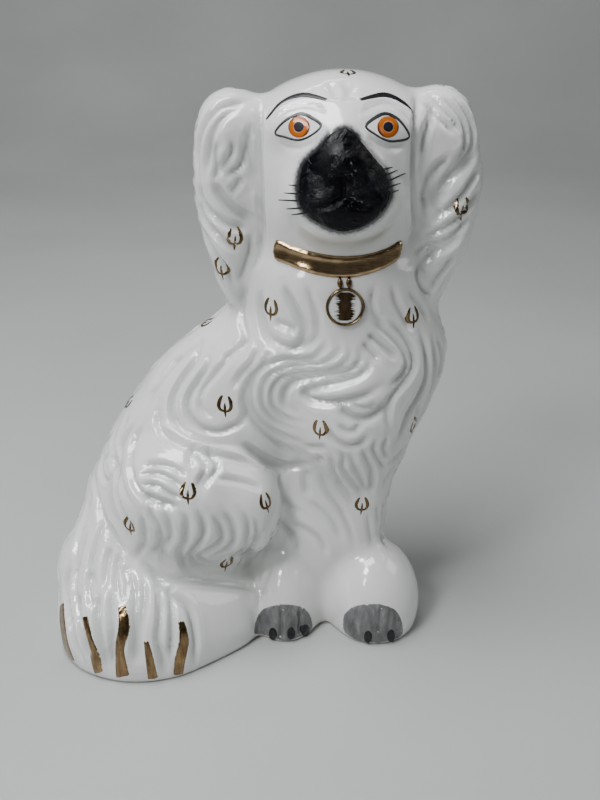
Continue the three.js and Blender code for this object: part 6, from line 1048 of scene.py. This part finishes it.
# raised collar, links and locket
at, n, loop = LAYERS["gilt_collar"]
piece("collar", patch(at, n, loop, 1.25, 1.1, step=0.8, reach=26), COLLAR_GOLD, "gilding", "gilt_collar")
at, n, loop = LAYERS["locket"]
ang = np.linspace(0, 2 * np.pi, 72, endpoint=False)
ringline = np.stack([np.cos(ang), np.sin(ang)], -1) * 6.75
piece("locket_face", patch(at, n, np.stack([np.cos(ang), np.sin(ang)], -1) * 6.6, 1.15, 1.0, step=0.6), GLAZE, "white_glaze", "locket_disc")
piece("locket_edge", strip(at, n, ringline, np.full(72, 0.62), height=1.75, closed=True, across=9), GOLD, "gilding", "locket_rim")
blot = []
for y in np.linspace(5.5, -4.8, 40):
    room = math.sqrt(max(6.0 ** 2 - y * y, 0.6)) - 0.15
    core = 3.0 - 0.7 * math.exp(-((y - 2.4) / 0.7) ** 2) + 1.2 * math.exp(-((y - 5.0) / 1.2) ** 2) - 0.16 * max(0.0, -2.6 - y) ** 2
    left, right = (min(room, max(0.5, core + 1.9 * (RNG.random() - 0.42))) for _ in range(2))
    blot.append(strip(at, n, ((-left, y + 0.12), (-left * 0.5, y), (right * 0.5, y), (right, y - 0.12)), (0.05, 0.20, 0.20, 0.05), height=0.05, base=1.23, across=5))
piece("locket_gilding", join(blot), gold_material("locket_gilding", dark=(0.025, 0.015, 0.008), light=(0.20, 0.12, 0.05), rough=(0.2, 0.45)), "gilding", "locket_gilding")
for side in ("left", "right"):
    at, n, loop = LAYERS["locket_link_" + side]
    piece("link_" + side, patch(at, n, loop, 1.25, 0.7, step=0.3, scale=1.25), GOLD, "gilding", "locket_link_" + side)

# face
at, n, loop = LAYERS["muzzle_enamel"]
parts = [patch(at, n, loop, 0.16, 1.6, step=0.75, reach=24)]
for w in WHISKERS:
    w = np.array(w)
    h = len(w) // 2
    mid, wid = (w[:h] + w[h:][::-1]) / 2, np.linalg.norm(w[:h] - w[h:][::-1], axis=1) / 2
    parts.append(strip(at, n, mid, wid, height=0.12, reach=24))
piece("muzzle", join(parts), MUZZLE, "black_enamel", "muzzle_enamel")
for side in ("left", "right"):
    at, n, loop = LAYERS["iris_" + side]
    piece("iris_" + side, patch(at, n, loop, 0.30, 2.5, step=0.32, centre=np.mean(loop, 0), radius=np.linalg.norm(np.array(loop) - np.mean(loop, 0), axis=1).mean()), AMBER, "amber_enamel", "iris_" + side)
    pat, pn, ploop = LAYERS["pupil_" + side]
    piece("pupil_" + side, patch(pat, pn, ploop, 0.12, 0.8, step=0.22, base=0.30), PUPIL, "black_enamel", "pupil_" + side)
    at, n, loop = LAYERS["eyeliner_" + side]
    L = np.array(loop)
    rel = (L[:, 1] - L[:, 1].min()) / np.ptp(L[:, 1])
    piece("eyeliner_" + side, strip(at, n, L, 0.44 + 0.26 * rel ** 2, height=0.16, closed=True, across=5, step=0.3), CHARCOAL, "charcoal_enamel", "eyeliner_" + side)
    at, n, loop = LAYERS["eyebrow_" + side]
    L = np.array(loop)
    h = len(L) // 2
    mid, wid = (L[:h] + L[h:][::-1]) / 2, np.linalg.norm(L[:h] - L[h:][::-1], axis=1) / 2
    if side == "right":
        if mid[0, 0] > mid[-1, 0]:
            mid, wid = mid[::-1], wid[::-1]
        run = np.concatenate([[0], np.cumsum(np.linalg.norm(np.diff(mid, axis=0), axis=1))])
        u = np.linspace(0, 0.90 * run[-1], 14)
        wid = np.interp(u, run, wid) * np.clip((1.02 - u / u[-1]) / 0.25, 0.15, 1)
        mid = np.stack([np.interp(u, run, mid[:, 0]), np.interp(u, run, mid[:, 1])], -1)
    keep = slice(0, None)
    piece("eyebrow_" + side, strip(at, n, mid[keep], wid[keep] * 1.25, height=0.16, step=0.35), BLACK, "black_enamel", "eyebrow_" + side)

# paws
for side, count in (("left", 3), ("right", 2)):
    at, n, loop = LAYERS["paw_enamel_" + side]
    piece("paw_" + side, patch(at, n, rounded(loop), 0.14, 0.8, step=0.7, reach=16, ragged=0.012), GREY, "grey_enamel", "paw_enamel_" + side)
    for i in range(1, count + 1):
        key = "claw_%s_%d" % (side, i)
        at, n, loop = LAYERS[key]
        piece(key + "_enamel", patch(at, n, rounded(loop), 0.5, 0.9, step=0.25, base=0.16, reach=5, scale=1.22), BLACK, "black_enamel", key)

# gold on the tail, and the sprigs
for i in range(1, 6):
    key = "tail_gilt_%d" % i
    at, n, loop = LAYERS[key]
    if i == 1:
        loop = np.asarray(loop, float)
        loop = (loop - loop.mean(0)) * (0.72, 1) + loop.mean(0)
    piece(key + "_brushed", patch(at, n, rounded(loop), 0.13, 0.5, step=0.5, reach=14, ragged=0.02), GOLD, "gilding", key)
for name, at, n, roll, scale in SPRIGS:
    k = scale * (1 + 0.08 * (RNG.random() - 0.5))
    r = roll + 10 * (RNG.random() - 0.5)
    flip = -1 if RNG.random() < 0.5 else 1
    piece(name + "_brushed", join([strip(at, n, np.array(l) * (flip, 1), np.array(w) * 1.22, height=0.15, roll=r, scale=k, reach=6) for l, w in SPRIG]), GOLD, "gilding", name)

size = {"cad_low": list(cad_box[0]), "cad_high": list(cad_box[1])}
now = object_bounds()
size.update(visual_low=list(now[0]), visual_high=list(now[1]))
print("size", {k: [round(x * 1000, 1) for x in v] for k, v in size.items()})
